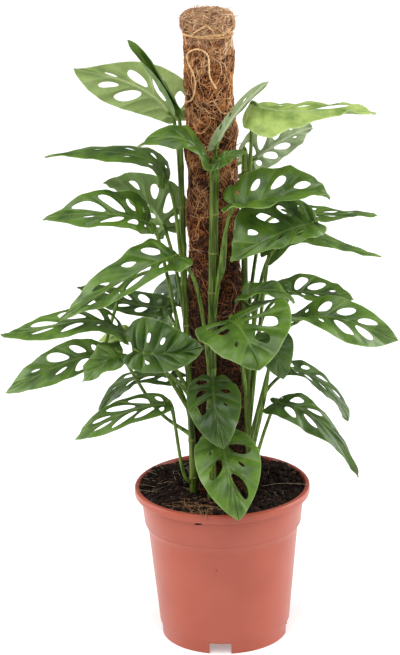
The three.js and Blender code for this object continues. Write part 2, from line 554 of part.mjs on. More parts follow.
// Every leaf by itself: the stem and height that it grows from, a point that its stalk passes, its
// midrib from joint to tip, the half widths left and right of it, the way its upper face looks, and
// how far each of the four holes on the left and on the right has opened, from 0 to 1.
const leafTable = {
  leaf_01: {
    stem: "left", at: 300, via: [-25, 1, 348],
    rib: [[-27.5, 10, 363], [-44.8, 12, 382.4], [-67.4, 10, 393.4], [-92.4, 6, 401]],
    half: [41, 7], face: [-0.2, 0.95, -0.3], fold: [6, 6], lobes: [0.1, 0.03], round: 0.75, swells: [-1, 4],
    holes: [[0.8, 0.9, 0.8, 0.4], [0, 0, 0.95, 0.6]],
  },
  leaf_02: {
    stem: "left", at: 330, via: [-23, -8, 364],
    rib: [[-26, -10, 374], [-39, -8, 398], [-56, -4, 422]],
    half: [9.5, 9.5], face: [0.6, -1, -0.2], fold: [10, 10], curl: [150, 150], wave: 0, levels: [0, 0.5, 1],
    holes: WHOLE,
  },
  leaf_03: {
    stem: "left", at: 245, via: [-28, -12, 311],
    rib: [[-34, -14, 331], [-48, -14, 345], [-78, -10, 348], [-113, -4, 344]],
    half: [16, 17], face: [0.1, -0.2, 1], fold: [0, 0], twist: -14,
    holes: [[0.3, 0.3, 0, 0], [0.3, 0.4, 0.3, 0.3]],
  },
  leaf_04: {
    stem: "front", at: 330, via: null,
    rib: [[-6, -32, 346], [-23, -39, 364], [-51, -35, 358]],
    half: [10, 18], face: [0.1, -0.35, 1], fold: [5, 5], curl: [-20, -15],
    holes: [[0, 0.3, 0, 0], [0, 0.3, 0, 0]],
  },
  leaf_05: {
    stem: "front", at: 322, via: null,
    rib: [[1, -30.5, 346.5], [10, -33, 351], [20.5, -34, 353.5]],
    half: [7, 12], face: [0, -0.5, 0.85], fold: [5, 5], wave: 0, lobes: [0.3, 0.3], swells: [-0.5, -0.5],
    holes: WHOLE,
  },
  leaf_06: {
    stem: "front", at: 343, via: null,
    rib: [[0, -25, 354], [14, -26, 377], [35, -20, 396]],
    half: [9, 9], face: [-0.6, 1, -0.4], fold: [20, 20], curl: [120, 120], wave: 0, levels: [0, 0.5, 1],
    holes: WHOLE,
  },
  leaf_07: {
    stem: "right", at: 280, via: [23.2, -11.0, 350.3],
    rib: [[24, -9, 379], [45.5, -20, 376], [74.8, -20, 374.7], [105, -16, 371.8]],
    half: [9, 42], face: [0, 0.1, 1], fold: [0, -55], tipFold: [35, 17], wave: 0.4,
    lobes: [0.02, 0.02], swells: [1.6, -1], round: 1.1,
    holes: [[0, 0.35, 0.4, 0.8], [0, 0, 0, 0.3]],
  },
  leaf_08: {
    stem: "right", at: 255, via: [20, 0, 324],
    rib: [[23, 4, 335], [46, 14, 348], [65, 24, 352]],
    half: [13, 18], face: [-0.2, 0.9, 0.1], fold: [5, 5],
    holes: [[0.6, 0.95, 0.9, 0.3], [0.9, 0.9, 0.9, 0.4]],
  },
  leaf_09: {
    stem: "front", at: 228, via: [4, -32, 292],
    rib: [[10, -30, 315], [33, -34, 321], [56, -34, 324], [74, -26, 318]],
    half: [23, 20], face: [0, 0, 1], fold: [45, 5],
    holes: [[0.3, 0.5, 0.6, 0.65], [0, 0, 0.3, 0.4]],
  },
  leaf_10: {
    stem: "right", at: 225, via: [30, 4, 288],
    rib: [[49, 20, 294], [80, 22, 292], [108, 22, 291]],
    half: [14, 15], face: [0, -0.12, 1], fold: [5, 5], swells: [-0.35, -0.45],
    holes: [[0.5, 0.5, 0.7, 0.4], [0.5, 0.5, 0.8, 0.4]],
  },
  leaf_11: {
    stem: "right", at: 185, via: [32, -24, 274],
    rib: [[64, -31, 303], [46, -40, 301], [27, -46, 294], [8, -46, 282]],
    half: [19.5, 25.5], face: [-0.3, -0.6, 0.75], fold: [0, 0], swells: [-0.6, 1.3],
    holes: [[0.3, 0.6, 0.4, 0], [0.45, 0.5, 0.6, 0.4]],
  },
  leaf_12: {
    stem: "right", at: 150, via: [32, -12, 264],
    rib: [[36, -14, 279], [56, -18, 292], [79, -15, 283], [109, -8, 271.5]],
    half: [17, 15], face: [0.1, -0.5, 0.8], fold: [0, 0], twist: 22, round: 1, swells: [-0.45, -0.5],
    holes: [[0.4, 0.8, 0.4, 0], [0.3, 0.8, 0, 0]],
  },
  leaf_13: {
    stem: "left", at: 190, via: [-39, -14, 288],
    rib: [[-46, -18, 301], [-61, -26, 309], [-83, -28, 311], [-115, -18, 305]],
    half: [12.5, 21], face: [0, -0.55, 0.8], fold: [5, 5], round: 0.6,
    holes: [[0.3, 0.8, 0.8, 0.3], [0.3, 0.6, 0.95, 0.95]],
  },
  leaf_14: {
    stem: "left", at: 225, via: null,
    rib: [[-34.5, 4, 289], [-49, 5, 311], [-75, 4, 323]],
    half: [25, 11], face: [-0.3, 0.7, 0.6], fold: [10, 10], swells: [0.1, 0.35],
    holes: [[0.6, 0.8, 0.6, 0.5], [0.3, 0.6, 0.7, 0.3]],
  },
  leaf_15: {
    stem: "front", at: 190, via: [-14, -30, 258],
    rib: [[-26, -32, 282], [-45, -44, 280], [-75, -48, 264], [-106, -38, 241]],
    half: [18, 28], face: [-0.3, -0.6, 0.8], fold: [0, 0], swells: [-0.3, -0.3], round: 0.65,
    holes: [[0.3, 0.5, 0.98, 0.98], [0, 0.75, 0.42, 0.5]],
  },
  leaf_16: {
    stem: "left", at: 200, via: null,
    rib: [[-36, 10, 232], [-67, 16, 236], [-95, 14, 247.5]],
    half: [12, 13], face: [0, -0.4, 0.9], fold: [5, 5],
    holes: [[0.6, 0.8, 0.6, 0], [0.5, 0.8, 0.6, 0.3]],
  },
  leaf_17: {
    stem: "left", at: 165, via: [-47, -18, 212],
    rib: [[-66, -24, 227], [-88, -32, 239], [-116, -32, 234], [-146, -22, 227]],
    half: [11, 15], face: [0, -0.35, 0.93], fold: [5, 5], swells: [1.2, 0.35],
    holes: [[0, 0, 0.7, 0.6], [0.8, 0.9, 0.9, 0.8]],
  },
  leaf_18: {
    stem: "left", at: 268, via: [-60.4, -5, 255.6],
    rib: [[-79, -12, 207], [-99, -18, 206], [-122, -18, 196], [-145, -12, 182]],
    half: [14, 16], face: [0, -0.55, 0.85], fold: [5, 5],
    holes: [[0.5, 0.95, 0.4, 0], [0.5, 0.7, 0.9, 0.3]],
  },
  leaf_19: {
    stem: "left", at: 148, via: [-43.5, -5, 165.5],
    rib: [[-65, -30, 214], [-77, -36, 211], [-92, -32, 196]],
    half: [11, 12], face: [0, -0.6, 0.8], fold: [15, 15], wave: 2, waves: 3.5,
    holes: WHOLE,
  },
  leaf_20: {
    stem: "front", at: 150, via: [-26, -42, 195],
    rib: [[-56, -56, 225], [-34, -64, 226], [-11, -62, 229]],
    half: [30, 13], face: [-0.1, -0.9, 0.35], fold: [5, 5], lobes: [0.2, 0.2], round: 0.55,
    swells: [-0.3, 0.35],
    holes: [[0, 0.4, 0.35, 0], [0, 0.4, 0, 0]],
  },
  leaf_21: {
    stem: "left", at: 125, via: [-22, -4, 162],
    rib: [[-31, 0, 186], [-54, 6, 185], [-71, 8, 175], [-84, 6, 159]],
    half: [14, 13], face: [0, -0.3, 1], fold: [5, 5], swells: [-0.2, -0.3],
    holes: [[0.8, 0.8, 0.5, 0.3], [0.8, 0.8, 0.6, 0.3]],
  },
  leaf_22: {
    stem: "left", at: 113, via: [-26.5, -16, 124],
    rib: [[-33, -21, 174], [-56, -27, 174], [-79, -28, 165], [-99, -22, 151]],
    half: [11, 11], face: [0, -0.6, 0.8], fold: [5, 5], lobes: [0.02, 0.02], round: 0.85,
    holes: [[0.6, 0.9, 0.9, 0.6], [0.6, 0.9, 0.9, 0.6]],
  },
  leaf_23: {
    stem: "front", at: 190, via: [-4, -28, 201],
    rib: [[-5, -34, 196], [-4, -62, 185], [1, -72, 161]],
    half: [18, 18], face: [0, -0.75, 0.6], fold: [3, 3], curl: [-15, -15],
    holes: [[0.5, 0.5, 0, 0], [0.8, 0.55, 0.9, 0]],
  },
  leaf_24: {
    stem: "front", at: 120, via: [-4, -34, 160],
    rib: [[-1, -40, 158], [4, -70, 144], [10, -84, 115]],
    half: [23, 20.5], face: [0, -0.8, 0.6], fold: [3, 3], curl: [-15, -15],
    holes: [[0, 0.92, 0.25, 0.98], [0, 0.3, 0.85, 0]],
  },
  leaf_25: {
    stem: "right", at: 175, via: [10, -29, 235],
    rib: [[6, -37, 238], [15, -69, 241], [25, -93, 223]],
    half: [36, 21.5], face: [0.05, -0.75, 0.65], fold: [5, 5], round: 0.62,
    lobes: [0.13, 0.2], swells: [0.35, 1.1],
    holes: [[0.5, 0.95, 0.98, 0.7], [0, 0.8, 0.5, 0.3]],
  },
  leaf_26: {
    stem: "right", at: 203, via: [23, -18, 234],
    rib: [[15, -31, 252], [32, -38, 259], [50, -38, 250]],
    half: [8, 8.5], face: [0, -0.4, 1], fold: [20, 20], wave: 1.6, waves: 3.5,
    holes: WHOLE,
  },
  leaf_27: {
    stem: "right", at: 171, via: [29, 0, 226],
    rib: [[44, 2, 244], [60, 8, 242], [76, 8, 239], [91, 6, 237]],
    half: [15, 12], face: [0, -0.15, 1], fold: [25, 5],
    holes: [[0, 0.95, 0.9, 0.3], [0, 0.4, 0.4, 0]],
  },
  leaf_28: {
    stem: "right", at: 140, via: [38, -18, 214],
    rib: [[52, -26, 234], [75, -34, 238], [96, -34, 231], [119, -26, 218]],
    half: [15, 18], face: [0.1, -0.3, 1], fold: [15, 38], twist: -65, tipFold: [0, -5],
    holes: [[0.3, 0.7, 0.75, 0.75], [0, 0.3, 0.8, 0.85]],
  },
  leaf_29: {
    stem: "right", at: 126, via: [30, -27, 184],
    rib: [[34, -27, 225], [37, -37, 216], [42, -39, 197]],
    half: [13, 13], face: [0.1, -0.9, 0.5], fold: [5, 5],
    holes: WHOLE,
  },
  leaf_30: {
    stem: "right", at: 125, via: [28, -6, 171],
    rib: [[46, 6, 188], [63, 12, 180], [78, 14, 165], [87, 12, 147]],
    half: [11, 12], face: [0.3, -0.15, 1], fold: [5, 5], swells: [1, 1],
    holes: [[0.6, 0.6, 0.6, 0.5], [0.6, 0.6, 0.6, 0.5]],
  },
  leaf_31: {
    stem: "right", at: 110, via: [27, -20, 147],
    rib: [[36, -20, 173], [54, -30, 172], [74, -32, 155], [92, -26, 121]],
    half: [14, 20], face: [0.35, -0.6, 0.75], fold: [5, 5], round: 0.85, swells: [-0.4, -0.4],
    holes: [[0.2, 0.7, 0.55, 0], [0, 0.75, 0.6, 0]],
  },
  leaf_32: {
    stem: "left", at: 215, via: null,
    rib: [[-26, 22, 243], [-36, 26, 232], [-48, 27, 213]],
    half: [12, 13], face: [-0.5, -0.7, 0.6], fold: [5, 5],
    holes: [[0, 0.3, 0, 0], [0, 0, 0, 0]],
  },
  leaf_33: {
    stem: "left", at: 179, via: [-37, -8, 205],
    rib: [[-59, -2, 217], [-69.5, -1, 217.3], [-81.5, 4, 212]],
    half: [9.3, 8.8], face: [0, -0.4, 0.9], fold: [10, 10], wave: 0.5,
    holes: WHOLE,
  },
  leaf_34: {
    stem: "back", at: 285, via: null,
    rib: [[8, 36, 306], [8, 56, 317], [6, 78, 314], [4, 98, 298]],
    half: [18, 18], face: [0, 0.3, 1],
    holes: [[0.6, 0.9, 0.8, 0.5], [0.7, 0.9, 0.8, 0.4]],
  },
  leaf_35: {
    stem: "back", at: 225, via: null,
    rib: [[-18, 30, 232], [-27, 44, 226], [-34, 50, 214], [-42, 48, 203]],
    half: [15, 15], face: [-0.3, -0.4, 0.9],
    holes: [[0.7, 0.8, 0.8, 0.4], [0.5, 0.9, 0.7, 0.5]],
  },
  leaf_36: {
    stem: "back", at: 190, via: null,
    rib: [[14, 36, 222], [24, 54, 230], [36, 72, 224], [48, 88, 206]],
    half: [18, 18], face: [0.2, 0.4, 1],
    holes: [[0.6, 0.9, 0.9, 0.5], [0.6, 0.8, 0.8, 0.4]],
  },
  leaf_37: {
    stem: "back", at: 150, via: null,
    rib: [[4, 38, 178], [2, 60, 184], [0, 80, 174], [-2, 96, 152]],
    half: [18, 18], face: [0, 0.5, 1],
    holes: [[0.7, 0.8, 0.9, 0.5], [0.6, 0.9, 0.8, 0.5]],
  },
};

function makeLeaf(entry) {
  const leaf = { ...plainLeaf, ...entry };
  leaf.points = leaf.rib.map((p) => new THREE.Vector3(...p));
  return blade(leaf).add(petiole(leaf)).subtract(stemRod(leaf.stem, GAP));
}

// The newest leaf of the front stem is still rolled up in a point.
function spear() {
  const foot = pointOnStem("front", 256).toArray();
  const route = smooth([foot, [2, -24.5, 268], [4, -25.5, 284], [6.5, -25, 304]]);
  const radius = (share) => 0.8 + 1.6 * Math.sin(Math.PI * share ** 0.8) * (1 - share) ** 0.4;
  return toSolid(rod(route, 9, 6, radius)).subtract(stemRod("front", GAP));
}

// ---- Assembly -------------------------------------------------------------------------------

const finishes = {
  pot: { color: 0xc8705a, roughness: 0.62 },
  soil: { color: 0x2a1a14, roughness: 1 },
  coir: { color: 0x96643f, roughness: 1 },
  wood: { color: 0xb08a5a, roughness: 0.8 },
  twine: { color: 0xcaa070, roughness: 0.9 },
  stem: { color: 0x71904c, roughness: 0.55 },
  leaf: { color: 0x4c7a34, roughness: 0.45 },
  youngLeaf: { color: 0x8cae52, roughness: 0.45 },
};

const plant = new THREE.Group();
plant.position.set(...CENTRING);

function place(name, solid, finish) {
  const material = new THREE.MeshStandardMaterial({ metalness: 0, ...finishes[finish] });
  const mesh = new THREE.Mesh(toGeometry(solid), material);
  mesh.name = name;
  plant.add(mesh);
}

place("pot", pot(), "pot");
place("soil", soil(), "soil");
place("stake", stake(), "wood");
place("coir_pole", coirPole(), "coir");
place("twine_ring", twineRing(), "twine");
place("twine_loop", twineLoop(), "twine");
for (const name of Object.keys(stemRoutes)) {
  place(`stem_${name}`, stemRod(name, 0), "stem");
}
const young = ["leaf_01", "leaf_05", "leaf_07", "leaf_09", "leaf_33"];
for (const [name, entry] of Object.entries(leafTable)) {
  place(name, makeLeaf(entry), young.includes(name) ? "youngLeaf" : "leaf");
}
place("rolled_leaf", spear(), "youngLeaf");

const root = new THREE.Group();
root.add(plant);
export default root;
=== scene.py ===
# %% [markdown]
# # A Swiss cheese plant on a coir pole
#
# Monstera adansonii is sold young: a few rooted cuttings in a small plastic pot, tied loosely round
# a stake that is wrapped in coconut fibre. This lesson dresses a plain solid model of one. The solid
# model is the frame: it fixes where every piece is and how big it is, and nothing here moves it.

# %% Load the frame
import math

import bpy
import numpy as np
from mathutils import Matrix, Vector, noise

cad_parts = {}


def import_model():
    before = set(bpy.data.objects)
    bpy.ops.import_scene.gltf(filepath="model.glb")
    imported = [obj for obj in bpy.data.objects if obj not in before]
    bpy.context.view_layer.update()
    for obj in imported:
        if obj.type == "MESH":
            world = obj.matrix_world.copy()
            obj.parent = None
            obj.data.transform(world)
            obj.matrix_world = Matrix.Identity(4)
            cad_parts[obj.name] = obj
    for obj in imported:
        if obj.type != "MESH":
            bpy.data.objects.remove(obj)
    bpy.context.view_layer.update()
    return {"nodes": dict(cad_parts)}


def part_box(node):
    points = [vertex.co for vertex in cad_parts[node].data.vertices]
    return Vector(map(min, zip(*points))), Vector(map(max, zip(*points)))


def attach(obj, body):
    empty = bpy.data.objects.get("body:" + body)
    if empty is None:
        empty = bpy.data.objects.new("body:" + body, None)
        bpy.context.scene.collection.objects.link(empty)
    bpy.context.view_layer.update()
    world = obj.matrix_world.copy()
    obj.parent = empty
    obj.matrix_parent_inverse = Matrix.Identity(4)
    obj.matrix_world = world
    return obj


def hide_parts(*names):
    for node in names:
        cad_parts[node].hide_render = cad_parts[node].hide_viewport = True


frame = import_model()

print("nodes in the frame:", len(frame["nodes"]))

# %% [markdown]
# ## One set of units
#
# The pieces are laid out in millimetres about the pot's own axis, because that is how a grower would
# measure them, and turned to Blender's metres at the last step. The pot's axis comes from the frame.

# %% The pot's axis
MM = 0.001
pot_low, pot_high = (np.array(corner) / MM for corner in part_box("pot"))
AXIS = np.array([(pot_low[0] + pot_high[0]) / 2, (pot_low[1] + pot_high[1]) / 2, 0.0])
POT_HEIGHT = pot_high[2]
print("pot axis at", AXIS.round(2), "mm, pot height", round(float(POT_HEIGHT), 1), "mm")

# %% [markdown]
# ## The camera first
#
# A small plant is often shot from two metres with a long lens, so that its uprights stay parallel.
# The camera looks down at it by about 19 degrees and leans a little. A camera's matrix can be built
# straight from its right, up and back directions.

# %% The camera
CAMERA_PLACE = np.array([-12.9, -2000.0, 905.0])
CAMERA_PITCH = math.radians(18.87)
CAMERA_ROLL = math.radians(-1.24)
FOCAL_LENGTH = 172.5  # mm, for a 36 mm frame along the picture's long side


def add(name, data):
    """An object for this data, in the scene."""
    made = bpy.data.objects.new(name, data)
    bpy.context.scene.collection.objects.link(made)
    return made


def make_camera():
    forward = Vector((0.0, math.cos(CAMERA_PITCH), -math.sin(CAMERA_PITCH)))
    level = Vector((1.0, 0.0, 0.0))
    upright = level.cross(forward)
    right = level * math.cos(CAMERA_ROLL) + upright * math.sin(CAMERA_ROLL)
    up = upright * math.cos(CAMERA_ROLL) - level * math.sin(CAMERA_ROLL)
    data = bpy.data.cameras.new("camera")
    data.sensor_fit = "VERTICAL"
    data.sensor_height = 36.0
    data.lens = FOCAL_LENGTH
    data.clip_end = 20.0
    camera = add("camera", data)
    turn = Matrix((right, up, -forward)).transposed().to_4x4()
    camera.matrix_world = Matrix.Translation(Vector((CAMERA_PLACE + AXIS) * MM)) @ turn
    bpy.context.scene.camera = camera
    return camera


print("camera at", tuple(round(v, 3) for v in make_camera().location))

# %% [markdown]
# ## Colours and nodes
#
# Colours are written as the sRGB hex values that a picker shows, and one function turns them to the
# linear numbers that shaders use. One more function adds a node, with its settings, its plain input
# values and its links, so that every material below reads as a short list. Node types are written
# without Blender's ShaderNode in front, and a link that names a node means that node's first output.
# Sums, noise and fades from one value to another come up most, so each has a short form of its own.


# %% Helpers for materials
def colour(hex_code):
    values = [int(hex_code[i : i + 2], 16) / 255 for i in (1, 3, 5)]
    linear = [v / 12.92 if v <= 0.04045 else ((v + 0.055) / 1.055) ** 2.4 for v in values]
    return (*linear, 1.0)


def connect(tree, made, values=None, links=None):
    """Give a node's inputs plain values or links; a link from a node is from its first output."""
    for key, value in (values or {}).items():
        made.inputs[key].default_value = value
    for key, source in (links or {}).items():
        tree.links.new(getattr(source, "outputs", [source])[0], made.inputs[key])


def node(tree, kind, values=None, links=None, stops=None, **settings):
    """Add a node; stops are a colour ramp's (place, hex colour or grey) pairs."""
    made = tree.nodes.new("ShaderNode" + kind)
    for key, value in settings.items():
        setattr(made, key, value)
    connect(tree, made, values, links)
    if stops:
        elements = made.color_ramp.elements
        while len(elements) < len(stops):
            elements.new(0.5)
        for element, (place, tint) in zip(elements, stops):
            element.position = place
            element.color = colour(tint) if isinstance(tint, str) else (tint, tint, tint, 1.0)
    return made


def maths(tree, operation, *sides):
    """A math node; each side is a plain value or a link."""
    plain = {i: side for i, side in enumerate(sides) if isinstance(side, (int, float))}
    linked = {i: side for i, side in enumerate(sides) if i not in plain}
    return node(tree, "Math", plain, linked, operation=operation)


def blotches(tree, size, detail, coords):
    """Noise in patches of so many mm."""
    return node(tree, "TexNoise", {"Scale": 1000 / size, "Detail": detail}, {"Vector": coords})


def fade(tree, source, ends, to=(0.0, 1.0)):
    """A value carried over from one range to another, and held at both ends."""
    spans = dict(zip(("From Min", "From Max", "To Min", "To Max"), (*ends, *to)))
    return node(tree, "MapRange", spans, {"Value": source})


def new_material(name):
    """A material with an empty node tree but for its principled shader."""
    material = bpy.data.materials.new(name)
    material.use_nodes = True
    tree = material.node_tree
    tree.nodes.clear()
    shader = node(tree, "BsdfPrincipled")
    node(tree, "OutputMaterial", links={"Surface": shader})
    return material, tree, shader


print("white is", colour("#ffffff"))


# %% Two helpers for meshes
def build(name, points, faces, materials, uvs=None, slots=None, sharp=50.0):
    """A piece from points in mm about the pot's axis; uvs maps a layer's name to a pair a point."""
    mesh = bpy.data.meshes.new(name)
    mesh.from_pydata(((np.asarray(points) + AXIS) * MM).tolist(), [], faces)
    for material in materials:
        mesh.materials.append(material)
    corner = np.empty(len(mesh.loops), dtype=np.int32)
    mesh.loops.foreach_get("vertex_index", corner)
    for layer_name, pairs in (uvs or {}).items():
        layer = mesh.uv_layers.new(name=layer_name)
        layer.data.foreach_set("uv", np.asarray(pairs, dtype=np.float32)[corner].ravel())
    if slots is not None:
        mesh.polygons.foreach_set("material_index", np.asarray(slots, dtype=np.int32))
    mesh.shade_smooth()
    mesh.set_sharp_from_angle(angle=math.radians(sharp))
    piece = add(name, mesh)
    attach(piece, "root")
    return piece


def joined(parts):
    """Several (points, faces, uv pairs) as one."""
    points, faces, pairs, count = [], [], [], 0
    for part_points, part_faces, part_pairs in parts:
        points.append(part_points)
        pairs.append(part_pairs)
        faces.extend([[i + count for i in face] for face in part_faces])
        count += len(part_points)
    return np.concatenate(points), faces, np.concatenate(pairs)


print("mesh helpers ready")

# %% [markdown]
# ## Smooth routes and tubes
#
# Stems, stalks and twine all follow a smooth curve through a few points. A Catmull-Rom curve passes
# through its points, so they can be measured off the plant. A tube is rings of points round the curve,
# each ring turned as little as possible from the one before.


# %% Routes and tubes
def route(points, steps):
    """A Catmull-Rom curve through the points, in so many equal steps of its parameter."""
    points = np.asarray(points, dtype=float)
    padded = np.vstack([2 * points[0] - points[1], points, 2 * points[-1] - points[-2]])
    share = np.linspace(0, len(points) - 1, steps + 1)
    piece = np.minimum(share.astype(int), len(points) - 2)
    t = (share - piece)[:, None]
    a, b, c, d = (padded[piece + k] for k in range(4))
    curve = 2 * b + (c - a) * t + (2 * a - 5 * b + 4 * c - d) * t**2 + (3 * b - a - 3 * c + d) * t**3
    return curve / 2


def lengths(path):
    """How far along its line each point lies, in mm."""
    return np.concatenate([[0], np.cumsum(np.linalg.norm(np.diff(path, axis=0), axis=1))])


def unit(vectors):
    """The same directions, each 1 long."""
    return vectors / np.linalg.norm(vectors, axis=-1, keepdims=True)


def tube(centres, radii, sides, oval=0.0):
    """Rings of points round a line of centres, closed at both ends."""
    along = unit(np.gradient(centres, axis=0))
    across = np.cross([0.0, 1.0, 0.0], along[0])
    turns = np.arange(sides) * 2 * np.pi / sides
    rings = []
    for centre, direction, radius in zip(centres, along, radii):
        across = across - direction * (across @ direction)
        across /= np.linalg.norm(across)
        other = np.cross(direction, across)
        reach = radius * (1 + oval * np.cos(2 * turns))
        ring = np.outer(reach * np.cos(turns), across) + np.outer(reach * np.sin(turns), other)
        rings.append(centre + ring)
    count = len(centres)
    faces = []
    for i in range(count - 1):
        for k in range(sides):
            a, b = i * sides + k, i * sides + (k + 1) % sides
            faces.append([a, b, b + sides, a + sides])
    faces.append(list(range(sides - 1, -1, -1)))
    faces.append(list(range((count - 1) * sides, count * sides)))
    pairs = np.stack([np.tile(turns / (2 * np.pi), count), np.repeat(lengths(centres) / 100, sides)], axis=1)
    return np.concatenate(rings), faces, pairs


print("a straight tube has", len(tube(route([(0, 0, 0), (0, 0, 9)], 4), [1] * 5, 6)[1]), "faces")

# %% [markdown]
# ## The nursery pot
#
# The pot is injection-moulded polypropylene, a soft satin plastic with no wear when new. It could be
# kept as the frame's faceted solid with a material, but a finer lathe of the same profile gives a round
# lip and the faint step line below the collar. The drainage gaps and holes are cut with booleans.


# %% Material: moulded polypropylene
GATE = (-5.4, -50.3, 65.0)  # where the plastic was shot into the mould


def polypropylene():
    material, tree, shader = new_material("moulded_polypropylene_terracotta")
    coords = node(tree, "TexCoord").outputs["Object"]
    # Pigment drifts by a few per cent over some 30 mm as the melt flows.
    drift = blotches(tree, 30, 3.0, coords)
    tint = node(tree, "ValToRGB", links={"Fac": drift}, stops=[(0.3, "#9c4631"), (0.7, "#a54e39")])
    # The gate where the plastic was shot in leaves a small dimple on the front; the dimple is not shaped, and
    # its shade is painted as a dark spot.
    gate = node(tree, "VectorMath", {1: tuple((AXIS + GATE) * MM)}, {0: coords}, operation="DISTANCE")
    gate_shade = fade(tree, gate.outputs["Value"], (0.0004, 0.0015), (0.8, 0.0))
    gate_shaded = node(tree, "Mix", {7: colour("#6e2a1c")}, {0: gate_shade, 6: tint}, data_type="RGBA")
    # The mould's spark-eroded grain is 0.1 mm; 0.5 mm shows.
    grain = blotches(tree, 0.5, 2.0, coords)
    bump = node(tree, "Bump", {"Strength": 0.12, "Distance": 0.0002}, {"Height": grain})
    connect(
        tree, shader, {"Roughness": 0.36, "IOR": 1.46},
        {"Base Color": gate_shaded.outputs[2], "Normal": bump},
    )
    return material


pot_plastic = polypropylene()
print("made", pot_plastic.name)


# %% The pot's profile
def arc(centre, radius, start, end, steps):
    """Points on part of a circle, from one angle in degrees to another."""
    turns = np.radians(np.linspace(start, end, steps + 1))
    return [(centre[0] + radius * math.cos(t), centre[1] + radius * math.sin(t)) for t in turns]


def lathe(profile, sides):
    """A closed profile of (radius, height), from the axis round to the axis."""
    turns = np.arange(sides) * 2 * np.pi / sides
    points, faces, pairs = [], [], []
    starts = []
    for r, z in profile:
        starts.append(len(points))
        if r == 0:
            points.append((0.0, 0.0, z))
            pairs.append((0.0, z / 100))
            continue
        points.extend((r * math.cos(t), r * math.sin(t), z) for t in turns)
        pairs.extend((k / sides, z / 100) for k in range(sides))
    for i in range(len(profile) - 1):
        low, high = starts[i], starts[i + 1]
        for k in range(sides):
            n = (k + 1) % sides
            if profile[i][0] == 0:
                faces.append([low, high + n, high + k])
            elif profile[i + 1][0] == 0:
                faces.append([low + k, low + n, high])
            else:
                faces.append([low + k, low + n, high + n, high + k])
    return np.array(points), faces, np.array(pairs)


POT_WALL = 1.4
FOOT_RADIUS = 43.2
FLOOR = (8.0, 10.0)  # underside and top of the pot's floor
LIP_RADIUS = 60.0
pot_profile = [
    (0, FLOOR[0]),
    (FOOT_RADIUS - 2.4, FLOOR[0]),
    *arc((FOOT_RADIUS - 1.5, 0.5), 0.5, 180, 270, 3),
    *arc((FOOT_RADIUS - 0.5, 0.5), 0.5, 270, 360, 3),
    (FOOT_RADIUS + 0.35, 8.5),
    (FOOT_RADIUS + 0.6, 8.9),
    (44.5, 9.3),
    (44.75, 9.9),
    (51.3, 77.4),
    (51.5, 78.2),
    (53.3, 81.8),
    (53.55, 82.3),
    (53.55, 83.0),
    (53.8, 83.3),
    (55.75, 101.6),
    *arc((56.25, 102.0), 0.5, 180, 90, 3),
    (58.6, 102.5),
    *arc((LIP_RADIUS - 1.0, 103.5), 1.0, -90, 0, 4),
    *arc((LIP_RADIUS - 1.6, POT_HEIGHT - 1.6), 1.6, 0, 90, 6),
    *arc((57.6, POT_HEIGHT - 0.8), 0.8, 90, 180, 4),
    (55.75 - POT_WALL, 101.2),
    (53.5 - POT_WALL, 82.7),
    (51.4 - POT_WALL, 78.5),
    (44.7 - POT_WALL, FLOOR[1] + 0.6),
    (44.1 - POT_WALL, FLOOR[1]),
    (0, FLOOR[1]),
]
print("the pot's profile has", len(pot_profile), "points")


# %% Cut the drainage gaps and holes
def cut(piece, cutters):
    """Take the cutters away from the piece."""
    for cutter in cutters:
        modifier = piece.modifiers.new("cut", "BOOLEAN")
        modifier.operation = "DIFFERENCE"
        modifier.solver = "EXACT"
        modifier.object = cutter
    depsgraph = bpy.context.evaluated_depsgraph_get()
    mesh = bpy.data.meshes.new_from_object(piece.evaluated_get(depsgraph))
    piece.modifiers.clear()
    piece.data = mesh
    for cutter in cutters:
        bpy.data.objects.remove(cutter)


def plain(name, points, faces):
    """A cutter: a bare mesh, gone again after the cut."""
    mesh = bpy.data.meshes.new(name)
    mesh.from_pydata(((np.asarray(points) + AXIS) * MM).tolist(), [], faces)
    return add(name, mesh)


NOTCH_WIDTH = 15.0
NOTCH_TOP = 7.7
NOTCH_TURN = -5.0  # degrees from the front
NOTCH_DEPTHS = (-50, -37)  # the cutter reaches from outside the foot to inside it
DRAIN_RADIUS = 4.0
DRAIN_CIRCLE = 27.0


def notch(quarter):
    """The cutter for one gap in the foot ring, round-cornered at its top."""
    half = NOTCH_WIDTH / 2
    outline = [(-half, -5), (half, -5), *arc((half - 1, NOTCH_TOP - 1), 1, 0, 90, 4)]
    outline += arc((1 - half, NOTCH_TOP - 1), 1, 90, 180, 4)
    turn = math.radians(NOTCH_TURN + 90 * quarter)
    across, out = (math.cos(turn), math.sin(turn)), (-math.sin(turn), math.cos(turn))
    points = []
    for depth in NOTCH_DEPTHS:
        points += [(x * across[0] + depth * out[0], x * across[1] + depth * out[1], z) for x, z in outline]
    count = len(outline)
    faces = [list(range(count)), list(range(2 * count - 1, count - 1, -1))]
    faces += [[i, i + count, (i + 1) % count + count, (i + 1) % count] for i in range(count)]
    return plain("notch", points, faces)


def drain(index):
    """The cutter for one of six holes in a circle, or for the seventh in the middle."""
    reach = 0 if index == 6 else DRAIN_CIRCLE
    turn = index * math.pi / 3
    points, faces, _ = lathe([(0, 5), (DRAIN_RADIUS, 5), (DRAIN_RADIUS, 13), (0, 13)], 24)
    return plain("drain", points + [reach * math.cos(turn), reach * math.sin(turn), 0], faces)


points, faces, pairs = lathe(pot_profile, 144)
pot = build("nursery_pot", points, faces, [pot_plastic], uvs={"round": pairs}, sharp=40)
cut(pot, [notch(q) for q in range(4)] + [drain(i) for i in range(7)])
pot.data.shade_smooth()
pot.data.set_sharp_from_angle(angle=math.radians(35))
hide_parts("pot")
print("pot faces after cutting:", len(pot.data.polygons))

# %% [markdown]
# ## The peat
#
# Potting peat is nearly black when damp: a fine crumb with coarser lumps, bits of coir and pale feeder
# roots on top. The frame's plug gives its level. Here the top is a dense polar grid, raised by noise at
# three sizes, with loose crumbs, flakes and roots lying on it as real pieces.


